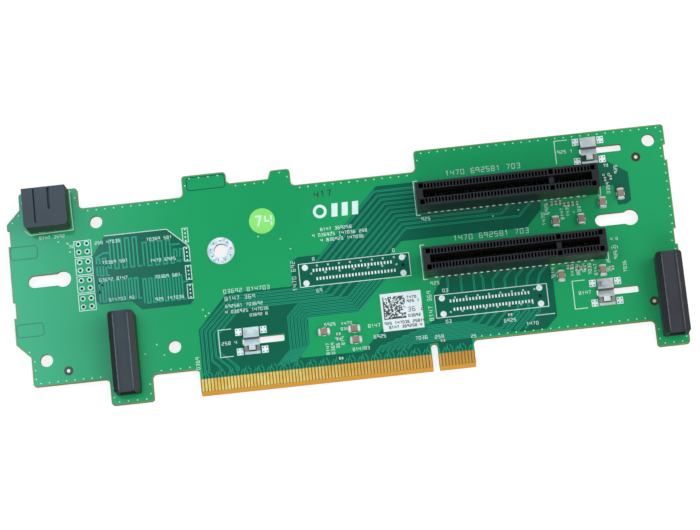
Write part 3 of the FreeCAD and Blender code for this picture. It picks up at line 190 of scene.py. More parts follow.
# The lit sheet fades out towards the right; the glossy mask mirrors it on its left part.
sheet_material, tree, shader = new_material("lit_sheet")
across = parted(tree, "ShaderNodeTexCoord", "Object")["X"]
feed(tree, shader, {
    "Base Color": (0, 0, 0, 1), "Specular IOR Level": 0.0, "Emission Color": (0.42, 0.86, 1.0, 1),
    "Emission Strength": spread_over(tree, across, -0.31, -0.12, 4.7, 0.0, interpolation_type="SMOOTHSTEP"),
})
SHEET_HEIGHT = 0.835
add_sheet("lit_sheet", [(x, y, SHEET_HEIGHT) for x, y in ((-0.55, 0.46), (0.12, 0.46), (0.12, 0.02),
                                                          (-0.55, 0.02))], sheet_material)
add_softbox("right_softbox", (0.75, 0.10, 0.65), (0, 0.03, 0), 0.7, 0.7, 4.6)
add_softbox("front_softbox", (0.10, -0.85, 0.75), (0, 0.03, 0), 0.8, 0.6, 3.8)


# The board: glass-epoxy laminate under a glossy green solder mask. The mask covers both faces,
# and the routed edges show the bare tan laminate. Copper under the mask makes it paler.
def build_mottle():
    """Slow and fine unevenness, for print, mask and moulded skins: puts out a mask and a height."""
    group = bpy.data.node_groups.new("mottle", "ShaderNodeTree")
    for label, way in (("slow scale", "INPUT"), ("fine scale", "INPUT"),
                       ("mask", "OUTPUT"), ("height", "OUTPUT")):
        group.interface.new_socket(label, in_out=way, socket_type="NodeSocketFloat")
    entry = wired(group, "NodeGroupInput").outputs
    where = wired(group, "ShaderNodeTexCoord").outputs["Object"]
    slow = wired(group, "ShaderNodeTexNoise", {"Vector": where, "Scale": entry["slow scale"]})
    fine = wired(group, "ShaderNodeTexNoise", {"Vector": where, "Scale": entry["fine scale"], "Detail": 6.0})
    wired(group, "NodeGroupOutput", {"mask": slow.outputs["Fac"], "height": fine.outputs["Fac"]})
    return group


MOTTLE = build_mottle()


def finish(name, low, high, roughness, metallic=0.0, slow=60.0, fine=1800.0, bump=0.05, coat=0.0,
           coat_roughness=0.06, specular=0.5, reach=0.00005):
    """A finish that drifts between two colours and has a fine uneven skin."""
    made, tree, shader = new_material(name)
    mottle = wired(tree, "ShaderNodeGroup", {"slow scale": slow, "fine scale": fine}, node_tree=MOTTLE)
    colours = wired(tree, "ShaderNodeValToRGB", {"Fac": mottle.outputs["mask"]}, name="colours")
    for element, position, colour in zip(colours.color_ramp.elements, (0.3, 0.7), (low, high)):
        element.position = position
        element.color = colour
    raised = wired(tree, "ShaderNodeBump", {"Strength": bump, "Distance": reach,
                                            "Height": mottle.outputs["height"]})
    feed(tree, shader, {
        "Base Color": colours.outputs["Color"], "Roughness": roughness, "Metallic": metallic,
        "Specular IOR Level": specular, "Coat Weight": coat, "Coat Roughness": coat_roughness,
        "Normal": raised.outputs["Normal"],
    })
    return made


def coloured(material):
    """The node tree of a finish, its shader, and the output that holds its drifting colour."""
    tree = material.node_tree
    return tree, tree.nodes["Principled BSDF"], tree.nodes["colours"].outputs["Color"]


def mixed(tree, share, first, second):
    """The output of a blend from one colour to another."""
    node = wired(tree, "ShaderNodeMix", {"Factor": share, "A": first, "B": second}, data_type="RGBA")
    return node.outputs["Result"]


def give(node, material):
    """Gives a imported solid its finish."""
    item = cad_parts[node]
    item.data.materials.clear()
    item.data.materials.append(material)


mask_material = finish("solder_mask", (0.0115, 0.315, 0.106, 1), (0.0135, 0.345, 0.116, 1), 0.45,
                       slow=25.0, fine=900.0, bump=0.02, coat=1.0, coat_roughness=0.045, specular=0.1)
tree, shader, colour = coloured(mask_material)
normal = parted(tree, "ShaderNodeNewGeometry", "Normal")
is_face = worked(tree, "GREATER_THAN", worked(tree, "ABSOLUTE", normal["Z"]), 0.97)
# The mask ends above the fingers. The tongue below is olive between them, and its bevel is orange.
TONGUE_LEFT = -72.3 * MM
TONGUE_RIGHT = 12.3 * MM
MASK_EDGE = 5.25 * MM
where = parted(tree, "ShaderNodeTexCoord", "Object")
on_tongue = worked(tree, "MULTIPLY", worked(tree, "GREATER_THAN", where["X"], TONGUE_LEFT),
                   worked(tree, "LESS_THAN", where["X"], TONGUE_RIGHT))
above_fingers = worked(tree, "GREATER_THAN", where["Y"], MASK_EDGE)
bare = worked(tree, "SUBTRACT", on_tongue, above_fingers, True)
face_colour = mixed(tree, bare, colour, (0.21, 0.125, 0.025, 1))
edge_colour = mixed(tree, bare, (0.30, 0.21, 0.07, 1), (0.66, 0.29, 0.035, 1))
feed(tree, shader, {"Base Color": mixed(tree, is_face, edge_colour, face_colour), "Coat Weight": is_face})
give("circuit_board", mask_material)


# Printed fields on the board. Where there is no copper under the mask the board is a darker
# teal. The fields are thin films on the component side, with windows where the board is cut.
def at(x, y):
    """Turns a place in the plan, in millimetres from the tongue's lower left corner, into metres."""
    return TONGUE_X + x * MM, y * MM


def plain_mesh(item, name):
    """The item's finished shape as a plain mesh object of its own."""
    graph = bpy.context.evaluated_depsgraph_get()
    mesh = bpy.data.meshes.new_from_object(item.evaluated_get(graph))
    mesh.name = name
    mesh.transform(item.matrix_world)
    kept = put(name, mesh)
    bpy.data.objects.remove(item)
    return kept


def keep(item, material):
    """Gives a finished piece its material and lets it ride on the card."""
    item.data.materials.clear()
    item.data.materials.append(material)
    for face in item.data.polygons:
        face.material_index = 0
    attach(item, "root")
    return item


def add_field(name, loops, low, thickness, material):
    """A thin flat film bounded by closed loops; a loop inside another is a window."""
    curve = bpy.data.curves.new(name, "CURVE")
    curve.dimensions = "2D"
    curve.fill_mode = "BOTH"
    curve.extrude = thickness / 2
    for loop in loops:
        spline = curve.splines.new("POLY")
        spline.points.add(len(loop) - 1)
        for point, (x, y) in zip(spline.points, loop):
            point.co = (*at(x, y), 0, 1)
        spline.use_cyclic_u = True
    item = put(name, curve)
    item.location.z = low + thickness / 2
    bpy.context.view_layer.update()
    return keep(plain_mesh(item, name), material)


BARE_FILM = 0.006 * MM
bare_material = finish("mask_over_laminate", (0.0036, 0.108, 0.060, 1), (0.0044, 0.121, 0.067, 1), 0.45,
                       slow=40.0, fine=900.0, bump=0.02, coat=1.0, coat_roughness=0.045, specular=0.1)
CLIP_WINDOW = [(13.7, 14.2), (27.0, 14.2), (27.0, 16.6), (13.7, 16.6)]
SIGNAL_FIELD = [
    (0.9, 5.3), (0.9, 20.5), (10.5, 30.9), (30.8, 30.9), (31.2, 38.6), (33.5, 39.8), (40.2, 39.8),
    (59.6, 59.3), (71.5, 59.3), (71.5, 49.5), (109.5, 49.5), (109.5, 46.5), (104.5, 41.2),
    (65.5, 41.2), (61.7, 37.6), (67.8, 37.6), (67.8, 30.2), (60.0, 30.2), (50.2, 20.7),
    (34.6, 20.7), (34.3, 12.5), (31.5, 9.0), (31.5, 8.4), (50.5, 8.4), (57.0, 14.6), (71.5, 14.6),
    (73.6, 16.2), (73.6, 23.5), (77.5, 29.9), (109.8, 29.9), (110.6, 26.0), (110.6, 12.8),
    (107.0, 9.3), (84.6, 9.0), (83.9, 8.4), (83.9, 5.3), (73.5, 5.3), (73.5, 8.45), (70.8, 8.45),
    (70.8, 5.3),
]
COUPON_FIELD = [
    (-29.8, 33.0), (-29.8, 46.8), (-25.6, 52.9), (-6.2, 52.9), (0.3, 46.9), (0.3, 30.0),
    (-0.9, 28.7), (-15.8, 28.7), (-18.9, 31.7), (-28.6, 31.7),
]
SLOT_END_FIELD = [
    (127.8, 59.3), (131.5, 59.2), (137.4, 55.2), (137.4, 46.2), (135.6, 45.2), (133.2, 45.2),
    (132.4, 51.6), (127.8, 51.6),
]
for name, loops in (("signal_field", [SIGNAL_FIELD, CLIP_WINDOW]), ("coupon_field", [COUPON_FIELD]),
                    ("slot_end_field", [SLOT_END_FIELD])):
    add_field(name, loops, BOARD_TOP, BARE_FILM, bare_material)


# Traces: copper tracks etched from the foil. They show through the mask as paler raised lines, and
# most run in pairs from the gold fingers to the card slots and the cable header.
TRACE_FILM = 0.012 * MM
trace_material = finish("mask_over_track", (0.018, 0.300, 0.165, 1), (0.022, 0.330, 0.182, 1), 0.4,
                        slow=90.0, fine=1500.0, bump=0.02, coat=1.0, coat_roughness=0.06, specular=0.1)


def shifted(path, side):
    """The path moved sideways by a constant distance, with its corners mitred."""
    moved = []
    for index, (x, y) in enumerate(path):
        before = Vector(path[index]) - Vector(path[index - 1]) if index else None
        after = Vector(path[index + 1]) - Vector(path[index]) if index + 1 < len(path) else None
        first = (before or after).normalized()
        second = (after or before).normalized()
        normal = Vector((-first.y - second.y, first.x + second.x))
        normal.normalize()
        stretch = max(0.35, normal.dot(Vector((-first.y, first.x))))
        moved.append((x + normal.x * side / stretch, y + normal.y * side / stretch))
    return moved


def built(shape, name):
    """The shape that was built up, as a mesh object."""
    mesh = bpy.data.meshes.new(name)
    shape.to_mesh(mesh)
    shape.free()
    return put(name, mesh)


def add_tracks(name, paths, width, low, thickness, material):
    """Flat ribbons of one width along many open paths, joined in one piece."""
    shape = bmesh.new()
    for path in paths:
        left = shifted(path, width / 2)
        right = shifted(path, -width / 2)
        rows = []
        for (lx, ly), (rx, ry) in zip(left, right):
            lx, ly = at(lx, ly)
            rx, ry = at(rx, ry)
            corners = [(lx, ly, low), (rx, ry, low), (rx, ry, low + thickness), (lx, ly, low + thickness)]
            rows.append([shape.verts.new(corner) for corner in corners])
        for start, end in zip(rows, rows[1:]):
            for index in range(4):
                following = (index + 1) % 4
                shape.faces.new((start[index], start[following], end[following], end[index]))
        shape.faces.new(rows[0][::-1])
        shape.faces.new(rows[-1])
    bmesh.ops.recalc_face_normals(shape, faces=shape.faces)
    return keep(built(shape, name), material)


def paired(paths):
    """The two tracks of each pair, half a pair's pitch to either side of a path."""
    half_pitch = 0.21
    return [shifted(path, side) for path in paths for side in (half_pitch, -half_pitch)]


outer_bus = []
for lane in range(5):
    x = 1.7 + 1.25 * lane
    y = 29.9 - 1.0 * lane
    turn = 20.3 - 0.45 * lane
    end = 37.5 + 2.9 * lane
    flare = (0.0, 0.0, 2.2, 3.9, 5.3)[lane]
    bend = 8.6 + 0.4 * lane
    foot = [(x + flare, 6.6), (x + flare, bend - 0.5 * flare), (x, bend + 0.5 * flare)]
    outer_bus.append((foot if flare else [(x, 6.6)])
                     + [(x, turn), (x + y - turn, y), (end - (30.3 - y), y), (end, 30.3)])
inner_bus = []
for lane in range(6):
    x = 28.6 + 1.05 * lane
    y = 25.6 - 0.95 * lane
    step = 4.0 - 0.62 * lane
    end = 52.2 + 1.55 * lane
    inner_bus.append([(x - 4.6, 6.8 + 0.1 * lane), (x, 11.4 + 0.1 * lane), (x, y - step), (x + step, y),
                      (end - (30.3 - y), y), (end, 30.3)])
slot_bus = []
for lane in range(10):
    x = 38.9 + 2.35 * lane
    y = 57.7 - 1.4 * lane
    corner = 87.0 + 5.2 * (lane - 6)
    far_end = [(71.4, y)] if lane < 6 else [(corner, y), (corner + 49.4 - y, 49.4)]
    slot_bus.append([(x, 37.8), (x + y - 37.8, y)] + far_end)
drops = [[(78.4, 29.6), (78.4, 25.5), (77.8, 23.3)], [(82.5, 29.6), (82.5, 23.3)],
         [(86.4, 29.6), (86.4, 23.3)], [(88.2, 29.6), (89.2, 27.0), (89.2, 23.3)]]
for lane in range(5):
    x = 95.4 + 3.6 * lane
    drops.append([(x, 29.4), (x - 3.2, 26.2), (x - 3.2 - max(0, lane - 1) * 0.3, 23.3)])
lower_bus = []
for lane in range(7):
    y = 14.0 - 0.78 * lane
    x = 84.0 + 3.1 * lane
    end = 64.0 - 1.6 * lane
    lower_bus.append([(x + 2.4, 16.4), (x + y - 14.0, y), (end + y - 7.6, y), (end, 7.6)])
for lane in range(3):
    x = 98.0 + 3.2 * lane
    lower_bus.append([(x + 1.0, 18.0), (x + 1.0, 15.0), (x - 4.0, 10.0)])
add_tracks("signal_tracks", paired(outer_bus + inner_bus + slot_bus + drops + lower_bus), 0.22,
           BOARD_TOP, TRACE_FILM, trace_material)

# Every finger has a short track of its own. The fingers stand a millimetre apart, and the key
# notch takes the place of two of them.
FINGER_COUNT = 82
FINGERS_TO_NOTCH = 71
escapes = []
for finger in range(FINGER_COUNT):
    x = 0.65 + finger if finger < FINGERS_TO_NOTCH else 2.65 + finger
    lean = 0.55 if finger % 4 < 2 else -0.55
    rise = 0.9 if finger % 2 else 0.2
    escapes.append([(x, 5.1), (x, 5.7 + rise), (x + lean, 6.3 + rise), (x + lean, 6.8 + rise)])
add_tracks("finger_escapes", escapes, 0.26, BOARD_TOP, TRACE_FILM, trace_material)


def meander(left, right, low, high, pitch):
    """One track folded up and down from left to right."""
    path = [(left, low)]
    x = left
    rising = True
    while x < right:
        level = high if rising else low
        path += [(x, level), (x + pitch, level)]
        x += pitch
        rising = not rising
    return path


coupon_tracks = [
    meander(-24.2, -15.2, 42.4, 51.6, 1.2), meander(-14.0, -5.4, 42.2, 49.6, 1.2),
    meander(-28.6, -25.4, 40.6, 46.0, 0.95), meander(-4.6, -1.6, 42.6, 46.4, 0.95),
    meander(-28.4, -16.0, 32.4, 38.8, 0.92), meander(-14.8, -2.4, 30.6, 38.2, 0.92),
    [(-28.8, 46.4), (-26.4, 47.6), (-24.6, 47.6)], [(-28.8, 44.0), (-26.0, 44.0), (-24.6, 42.6)],
    [(-28.8, 38.8), (-27.2, 37.4)], [(-28.8, 36.4), (-28.2, 35.0)],
    [(-5.2, 48.0), (-2.4, 48.0)], [(-4.6, 43.6), (-2.4, 43.6)], [(-2.6, 36.0), (-1.0, 36.0)],
]
add_tracks("coupon_tracks", coupon_tracks, 0.5, BOARD_TOP, TRACE_FILM, trace_material)


# Plated holes: each via is a small tinned ring round a drilled hole. A row of them is stepped
# out along a line, and the rings are all alike.
def build_ring_row():
    """A straight row of flat rings: start, step, count, radius, band and thickness go in."""
    tree = bpy.data.node_groups.new("ring_row", "GeometryNodeTree")
    for label, kind in (("start", "Vector"), ("step", "Vector"), ("count", "Int"), ("radius", "Float"),
                        ("band", "Float"), ("thickness", "Float"), ("material", "Material")):
        tree.interface.new_socket(label, in_out="INPUT", socket_type="NodeSocket" + kind)
    tree.interface.new_socket("Geometry", in_out="OUTPUT", socket_type="NodeSocketGeometry")
    entry = wired(tree, "NodeGroupInput").outputs
    line = wired(tree, "GeometryNodeMeshLine", {
        "Count": entry["count"], "Start Location": entry["start"], "Offset": entry["step"]}, mode="OFFSET")
    circle = wired(tree, "GeometryNodeCurvePrimitiveCircle", {"Resolution": 12, "Radius": entry["radius"]})
    profile = wired(tree, "GeometryNodeCurvePrimitiveQuadrilateral", {
        "Width": entry["band"], "Height": entry["thickness"]})
    sweep = wired(tree, "GeometryNodeCurveToMesh", {
        "Curve": circle.outputs["Curve"], "Profile Curve": profile.outputs["Curve"]})
    spread = wired(tree, "GeometryNodeInstanceOnPoints", {
        "Points": line.outputs["Mesh"], "Instance": sweep.outputs["Mesh"]})
    joined = wired(tree, "GeometryNodeRealizeInstances", {"Geometry": spread.outputs["Instances"]})
    coated = wired(tree, "GeometryNodeSetMaterial", {
        "Geometry": joined.outputs["Geometry"], "Material": entry["material"]})
    wired(tree, "NodeGroupOutput", {"Geometry": coated.outputs["Geometry"]})
    return tree


RING_ROW = build_ring_row()
tin_material = finish("tinned_rings", (0.64, 0.72, 0.66, 1), (0.82, 0.90, 0.84, 1), 0.42, metallic=0.3,
                      slow=200.0, fine=1500.0, bump=0.05, reach=0.00003)


def ring_row(name, start, step, count, outer, inner, low, thickness, material):
    """One row of rings as a plain mesh; start and step are in millimetres, diameters too."""
    item = put(name, bpy.data.meshes.new(name))
    modifier = item.modifiers.new("rings", "NODES")
    modifier.node_group = RING_ROW
    values = {
        "start": (*at(*start), low + thickness / 2), "step": (step[0] * MM, step[1] * MM, 0.0),
        "count": count, "radius": (outer + inner) / 4 * MM, "band": (outer - inner) / 2 * MM,
        "thickness": thickness, "material": material,
    }
    for socket in RING_ROW.interface.items_tree:
        if socket.in_out == "INPUT":
            modifier[socket.identifier] = values[socket.name]
    return plain_mesh(item, name)


VIA_FILM = 0.016 * MM


def add_ring_rows(name, rows, outer, inner, low=BOARD_TOP, thickness=VIA_FILM, material=tin_material):
    """Rows of rings as one piece."""
    shape = bmesh.new()
    for start, step, count in rows:
        row = ring_row(name, start, step, count, outer, inner, low, thickness, material)
        shape.from_mesh(row.data)
        bpy.data.objects.remove(row)
    bmesh.ops.recalc_face_normals(shape, faces=shape.faces)
    return keep(built(shape, name), material)


def outline(node):
    """The edge of a packed board's top face, anticlockwise, in millimetres of the frame."""
    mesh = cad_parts[node].data
    top = [face for face in mesh.polygons if face.normal.z > 0.99 and face.center.z > BOARD_TOP - 0.1 * MM]
    sides = {}
    for face in top:
        corners = []
        for index in face.vertices:
            co = mesh.vertices[index].co
            corners.append((round(co.x / MM, 3), round(co.y / MM, 3)))
        for start, end in zip(corners, corners[1:] + corners[:1]):
            if (end, start) in sides:
                del sides[(end, start)]
            else:
                sides[(start, end)] = True
    onward = dict(sides.keys())
    loop = [min(onward)]
    while onward[loop[-1]] != loop[0]:
        loop.append(onward[loop[-1]])
    return loop


# Stitching vias follow the board's edge and tie its ground layers together. None stands on the
# tongue, nor beside the break-out recess in the left edge.
STITCH_PITCH = 2.54
STITCH_INSET = 0.95
SHORTEST_SIDE = 0.4
stitch_places = []
walked = outline("circuit_board")
for start, end in zip(walked, walked[1:] + walked[:1]):
    along = Vector(end) - Vector(start)
    if along.length < SHORTEST_SIDE:
        continue
    inward = Vector((-along.y, along.x)).normalized() * STITCH_INSET
    count = int(along.length / STITCH_PITCH)
    for index in range(count):
        spot = Vector(start) + along * ((index + 0.5) / max(1, count)) + inward
        in_tongue = -74.5 < spot.x < 14.0 and spot.y < 9.0
        by_breakout = spot.x < -118.0 and 20.0 < spot.y < 57.0
        if not in_tongue and not by_breakout:
            stitch_places.append((spot.x - TONGUE_X / MM, spot.y))
# The mask stops just short of the routed edge, so a hair line of bare laminate runs round the
# card, except beside the tongue.
RIM_INSET = 0.13
rim = []
for index, spot in enumerate(walked):
    before = Vector(spot) - Vector(walked[index - 1])
    after = Vector(walked[(index + 1) % len(walked)]) - Vector(spot)
    inward = Vector((-before.y - after.y, before.x + after.x)).normalized() * RIM_INSET
    rim.append((spot[0] + inward.x - TONGUE_X / MM, spot[1] + inward.y))
rim_paths = [[]]
for x, y in rim + rim[:1]:
    if -0.6 < x < 85.0 and y < 8.0:
        rim_paths.append([])
    else:
        rim_paths[-1].append((x, y))
rim_material = finish("laminate_rim", (0.20, 0.22, 0.045, 1), (0.30, 0.26, 0.06, 1), 0.6, slow=300.0,
                      fine=1500.0, bump=0.05)
add_tracks("laminate_rim", [path for path in rim_paths if len(path) > 1], 0.24, BOARD_TOP, 0.005 * MM,
           rim_material)
# More vias are scattered over the ground areas between the parts.
scattered = random.Random(7)
for x, y, across, up in ((-22, 13, 18, 12), (2, 24, 20, 6), (8, 42, 24, 14), (42, 44, 8, 3),
                         (112, 30, 22, 8), (118, 46, 8, 10), (90, 44, 30, 4), (-40, 46, 4, 10)):
    for index in range(4):
        stitch_places.append((x + across * scattered.random(), y + up * scattered.random()))
escape_rows = [
    ((35.6, 36.5), (3.4, 0), 10), ((37.0, 34.2), (4.4, 0), 7), ((76.6, 21.9), (3.5, 0), 9),
    ((78.4, 17.6), (3.6, 0), 8), ((7.3, 41.8), (-2.1, 0), 1),
]
add_ring_rows("escape_vias", escape_rows, 0.62, 0.28)


def sides_of(low, high):
    """Turns the corners of a box into its left, lower, right and upper side in the plan."""
    return (low[0] - TONGUE_X) / MM, low[1] / MM, (high[0] - TONGUE_X) / MM, high[1] / MM


def centre(low, high):
    """Turns the corners of a box into its middle in the plan."""
    left, lower, right, upper = sides_of(low, high)
    return (left + right) / 2, (lower + upper) / 2


bright_tin = finish("bright_tin", (0.78, 0.86, 0.80, 1), (0.92, 0.98, 0.94, 1), 0.42, metallic=0.2,
                    slow=200.0, fine=1500.0, bump=0.05, reach=0.00003)
# Four rows of plated rings under each moulding stand for the holes of its soldered tails. They are
# a regular pattern and don't match the tails: each ring lies about 0.5 mm along from its tail, and
# the key's place has rings too.
ROW_STEP = 2.0
RINGS_IN_ROW = 25
slot_rows = []
for node in ("lower_slot_housing", "upper_slot_housing"):
    left = sides_of(*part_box(node))[0]
    middle = centre(*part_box(node))[1]
    for offset, first in ((-3.25, 3.5), (-1.25, 2.5), (1.25, 3.5), (3.25, 2.5)):
        slot_rows.append(((left + first, middle + offset), (ROW_STEP, 0), RINGS_IN_ROW))
add_ring_rows("slot_tail_rings", slot_rows, 1.5, 0.8, material=bright_tin)
add_ring_rows("slot_tail_rings_back", slot_rows, 1.25, 0.8, -VIA_FILM)
# Painted shade: dark discs stand for the shaded insides of drilled holes.
hole_shade_material = finish("painted_hole_shade", (0.004, 0.012, 0.008, 1), (0.008, 0.02, 0.014, 1), 0.8, specular=0.2)


def islands(node):
    """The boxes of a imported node's separate solids, as pairs of corners in metres."""
    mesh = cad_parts[node].data
    parent = list(range(len(mesh.vertices)))

    def root(index):
        """The vertex that stands for the solid that a vertex belongs to."""
        while parent[index] != index:
            parent[index] = parent[parent[index]]
            index = parent[index]
        return index

    merged = {}
    for vertex in mesh.vertices:
        key = tuple(round(value, 7) for value in vertex.co)
        merged.setdefault(key, vertex.index)
        parent[root(vertex.index)] = root(merged[key])
    for edge in mesh.edges:
        parent[root(edge.vertices[0])] = root(edge.vertices[1])
    boxes = {}
    for vertex in mesh.vertices:
        low, high = boxes.setdefault(root(vertex.index), ([9.0] * 3, [-9.0] * 3))
        for axis in range(3):
            low[axis] = min(low[axis], vertex.co[axis])
            high[axis] = max(high[axis], vertex.co[axis])
    return list(boxes.values())


def stack(shape, loops):
    """Adds a closed solid that passes through level loops with as many corners each."""
    rows = [[shape.verts.new(corner) for corner in loop] for loop in loops]
    shape.faces.new(rows[0][::-1])
    shape.faces.new(rows[-1])
    for lower, upper in zip(rows, rows[1:]):
        for k in range(len(lower)):
            following = (k + 1) % len(lower)
            shape.faces.new((lower[k], lower[following], upper[following], upper[k]))


def add_discs(name, places, diameter, low, thickness, material, sides=14):
    """Flat round discs at plan places given in millimetres, as one piece."""
    shape = bmesh.new()
    radius = diameter / 2 * MM
    angles = [2 * math.pi * k / sides for k in range(sides)]
    for place in places:
        x, y = at(*place)
        stack(shape, [[(x + radius * math.cos(angle), y + radius * math.sin(angle), level)
                       for angle in angles] for level in (low, low + thickness)])
    return keep(built(shape, name), material)


via_material = finish("via_tin", (0.44, 0.74, 0.46, 1), (0.58, 0.86, 0.60, 1), 0.42, metallic=0.2,
                      slow=200.0, fine=1500.0, bump=0.05, reach=0.00003)
VIA_DISC = 0.014 * MM
add_discs("stitch_vias", stitch_places, 0.46, BOARD_TOP, VIA_DISC, via_material, 10)
add_discs("stitch_vias_back", stitch_places, 0.46, -VIA_DISC, VIA_DISC, via_material, 10)
hole_places = []
for start, step, count in escape_rows:
    hole_places += [(start[0] + step[0] * k, start[1] + step[1] * k) for k in range(count)]
add_discs("via_bores", hole_places, 0.36, BOARD_TOP, 0.008 * MM, hole_shade_material, 8)
# The bores of the test coupons' pads, of two wide vias and of the grounding ring's nine vias, as dark discs
# of painted shade.
BORE_DISC = 0.02 * MM
coupon_bores = [centre(low, high) for low, high in islands("coupon_pads")]
add_discs("coupon_bores", coupon_bores, 0.92, BOARD_TOP, BORE_DISC, hole_shade_material, 16)
add_discs("wide_via_bores", [(65.35, 33.8), (106.1, 19.6)], 1.1, BOARD_TOP, BORE_DISC, hole_shade_material)
ring_x, ring_y = centre(*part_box("grounding_ring"))
RING_VIA_REACH = 3.2
ring_vias = []
for k in range(9):
    angle = math.radians(40 * k + 10)
    ring_vias.append((ring_x + RING_VIA_REACH * math.cos(angle), ring_y + RING_VIA_REACH * math.sin(angle)))
RING_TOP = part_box("grounding_ring")[1][2]
add_discs("grounding_ring_bores", ring_vias, 0.4, RING_TOP, 0.004 * MM, hole_shade_material, 10)


# Sighting marks for the assembly machine: each is a bright tinned dot in a round clearing of dark
# laminate. The dot is etched with the tracks, and the mask is left open round it.
laminate_material = finish("open_laminate", (0.055, 0.030, 0.012, 1), (0.075, 0.042, 0.018, 1), 0.5,
                           coat=0.6, specular=0.2)
SIGHTS = [(-40.0, 12.2), (140.4, 59.6), (140.6, 14.2)]
add_discs("sighting_clearings", SIGHTS, 2.9, BOARD_TOP, VIA_DISC, laminate_material, 28)
add_discs("sighting_dots", SIGHTS, 1.1, BOARD_TOP, 0.022 * MM, tin_material, 20)


# Metal parts: copper fingers with gold plating on the board's edge, tinned copper pads and the
# grounding ring, and the card slots' contacts, which are stamped bronze strips.
gold_material = finish("gilded_copper", (0.88, 0.47, 0.07, 1), (0.96, 0.67, 0.20, 1), 0.42, metallic=0.4,
                       slow=350.0, fine=2500.0, bump=0.08, reach=0.00002)
# The plating is warmer towards the tongue's short end.
tree, shader, colour = coloured(gold_material)
towards_end = parted(tree, "ShaderNodeTexCoord", "Object")["X"]
warmth = spread_over(tree, towards_end, -50.0 * MM, 8.0 * MM, 0.0, 0.85)
feed(tree, shader, {"Base Color": mixed(tree, warmth, colour, (0.66, 0.26, 0.035, 1))})
pad_material = finish("tinned_pad", (0.72, 0.76, 0.74, 1), (0.94, 0.96, 0.94, 1), 0.42, metallic=0.3,
                      slow=260.0, fine=1400.0, bump=0.15, reach=0.00004)
spring_material = finish("contact_bronze", (0.10, 0.07, 0.03, 1), (0.16, 0.11, 0.05, 1), 0.5,
                         metallic=1.0, slow=300.0, fine=2000.0, bump=0.05)
for node in ("edge_fingers_front", "edge_fingers_back"):
    give(node, gold_material)
give("grounding_ring", finish("ring_tin", (0.50, 0.49, 0.53, 1), (0.98, 0.95, 0.97, 1), 0.36, metallic=0.3,
                              slow=900.0, fine=1600.0, bump=0.25, reach=0.00005))
give("coupon_pads", finish("coupon_tin", (0.42, 0.62, 0.50, 1), (0.58, 0.78, 0.66, 1), 0.42, metallic=0.25,
                           slow=260.0, fine=1400.0, bump=0.15, reach=0.00004))
for node in ("clip_solder_pads", "left_footprint_pads", "right_footprint_pads"):
    give(node, pad_material)
for node in ("upper_slot_contacts_a", "upper_slot_contacts_b", "lower_slot_contacts_a",
             "lower_slot_contacts_b"):
    give(node, spring_material)


# Black mouldings: the two card slots are glass-filled nylon and are held by their soldered
# contacts, and the cable header by its soldered pins. The two guide blocks are staked to the board
# by two pegs each.
slot_plastic = finish("slot_nylon", (0.0120, 0.0115, 0.0135, 1), (0.0185, 0.0175, 0.0205, 1), 0.36,
                      slow=120.0, fine=2600.0, bump=0.12, specular=0.45)
block_plastic = finish("block_moulding", (0.022, 0.022, 0.028, 1), (0.032, 0.032, 0.040, 1), 0.42,
                       slow=90.0, fine=2200.0, bump=0.2, specular=0.5)


def paint_shade_by_facing(material, axis, low, high, dark):
    """Paints shade: blends a finish to a darker tone on faces whose normal has little of one axis."""
    tree, shader, colour = coloured(material)
    facing = parted(tree, "ShaderNodeNewGeometry", "Normal")[axis]
    feed(tree, shader, {"Base Color": mixed(tree, spread_over(tree, facing, low, high), dark, colour)})


# Painted shade: the sloped and upright sides of the mouldings are painted darker than their tops.
paint_shade_by_facing(block_plastic, "Z", 0.80, 0.98, (0.0075, 0.0085, 0.0105, 1))
paint_shade_by_facing(slot_plastic, "Z", 0.60, 0.90, (0.0030, 0.0030, 0.0034, 1))
header_plastic = finish("header_moulding", (0.033, 0.030, 0.041, 1), (0.047, 0.043, 0.056, 1), 0.42,
                        slow=110.0, fine=2400.0, bump=0.15, specular=0.5)
paint_shade_by_facing(header_plastic, "Z", 0.60, 0.90, (0.0075, 0.0075, 0.0090, 1))
for node in ("upper_slot_housing", "lower_slot_housing"):
    give(node, slot_plastic)
for node in ("left_guide_block", "right_guide_block"):
    give(node, block_plastic)
give("cable_header_housing", header_plastic)
# Painted highlight: a pale line along both long edges of each guide block's top.
edge_highlight_material = finish("painted_edge_highlight", (0.050, 0.056, 0.066, 1), (0.120, 0.128, 0.142, 1), 0.34,
                       slow=900.0, fine=2200.0, bump=0.2, specular=0.6)
HIGHLIGHT_INSET = 1.75
edge_highlights = []
for node in ("left_guide_block", "right_guide_block"):
    left, lower, right, upper = sides_of(*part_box(node))
    for x in (left + HIGHLIGHT_INSET, right - HIGHLIGHT_INSET):
        edge_highlights.append([(x, lower + 0.5), (x, upper - 1.0)])
BLOCK_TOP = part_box("left_guide_block")[1][2]
add_tracks("guide_block_edge_highlights", edge_highlights, 0.30, BLOCK_TOP, 0.03 * MM, edge_highlight_material)


# Header pins and spring clips: the four pins are tinned square wire, bent down and soldered
# through the board. The three clips are bent from tinned steel sheet and soldered on their pads.
pin_material = finish("header_pin_tin", (0.60, 0.56, 0.46, 1), (0.78, 0.74, 0.62, 1), 0.28, metallic=1.0,
                      slow=300.0, fine=2000.0, bump=0.05)
clip_material = finish("clip_steel", (0.62, 0.63, 0.63, 1), (0.95, 0.95, 0.94, 1), 0.33, metallic=0.55,
                       slow=200.0, fine=1800.0, bump=0.05, reach=0.00002)
# Painted shade: the clips' near slopes are painted darker than their crests and tongues.
paint_shade_by_facing(clip_material, "Y", -0.47, -0.32, (0.11, 0.12, 0.12, 1))
give("cable_header_pins", pin_material)
for node in ("upper_spring_clip", "lower_spring_clip", "left_spring_clip"):
    give(node, clip_material)


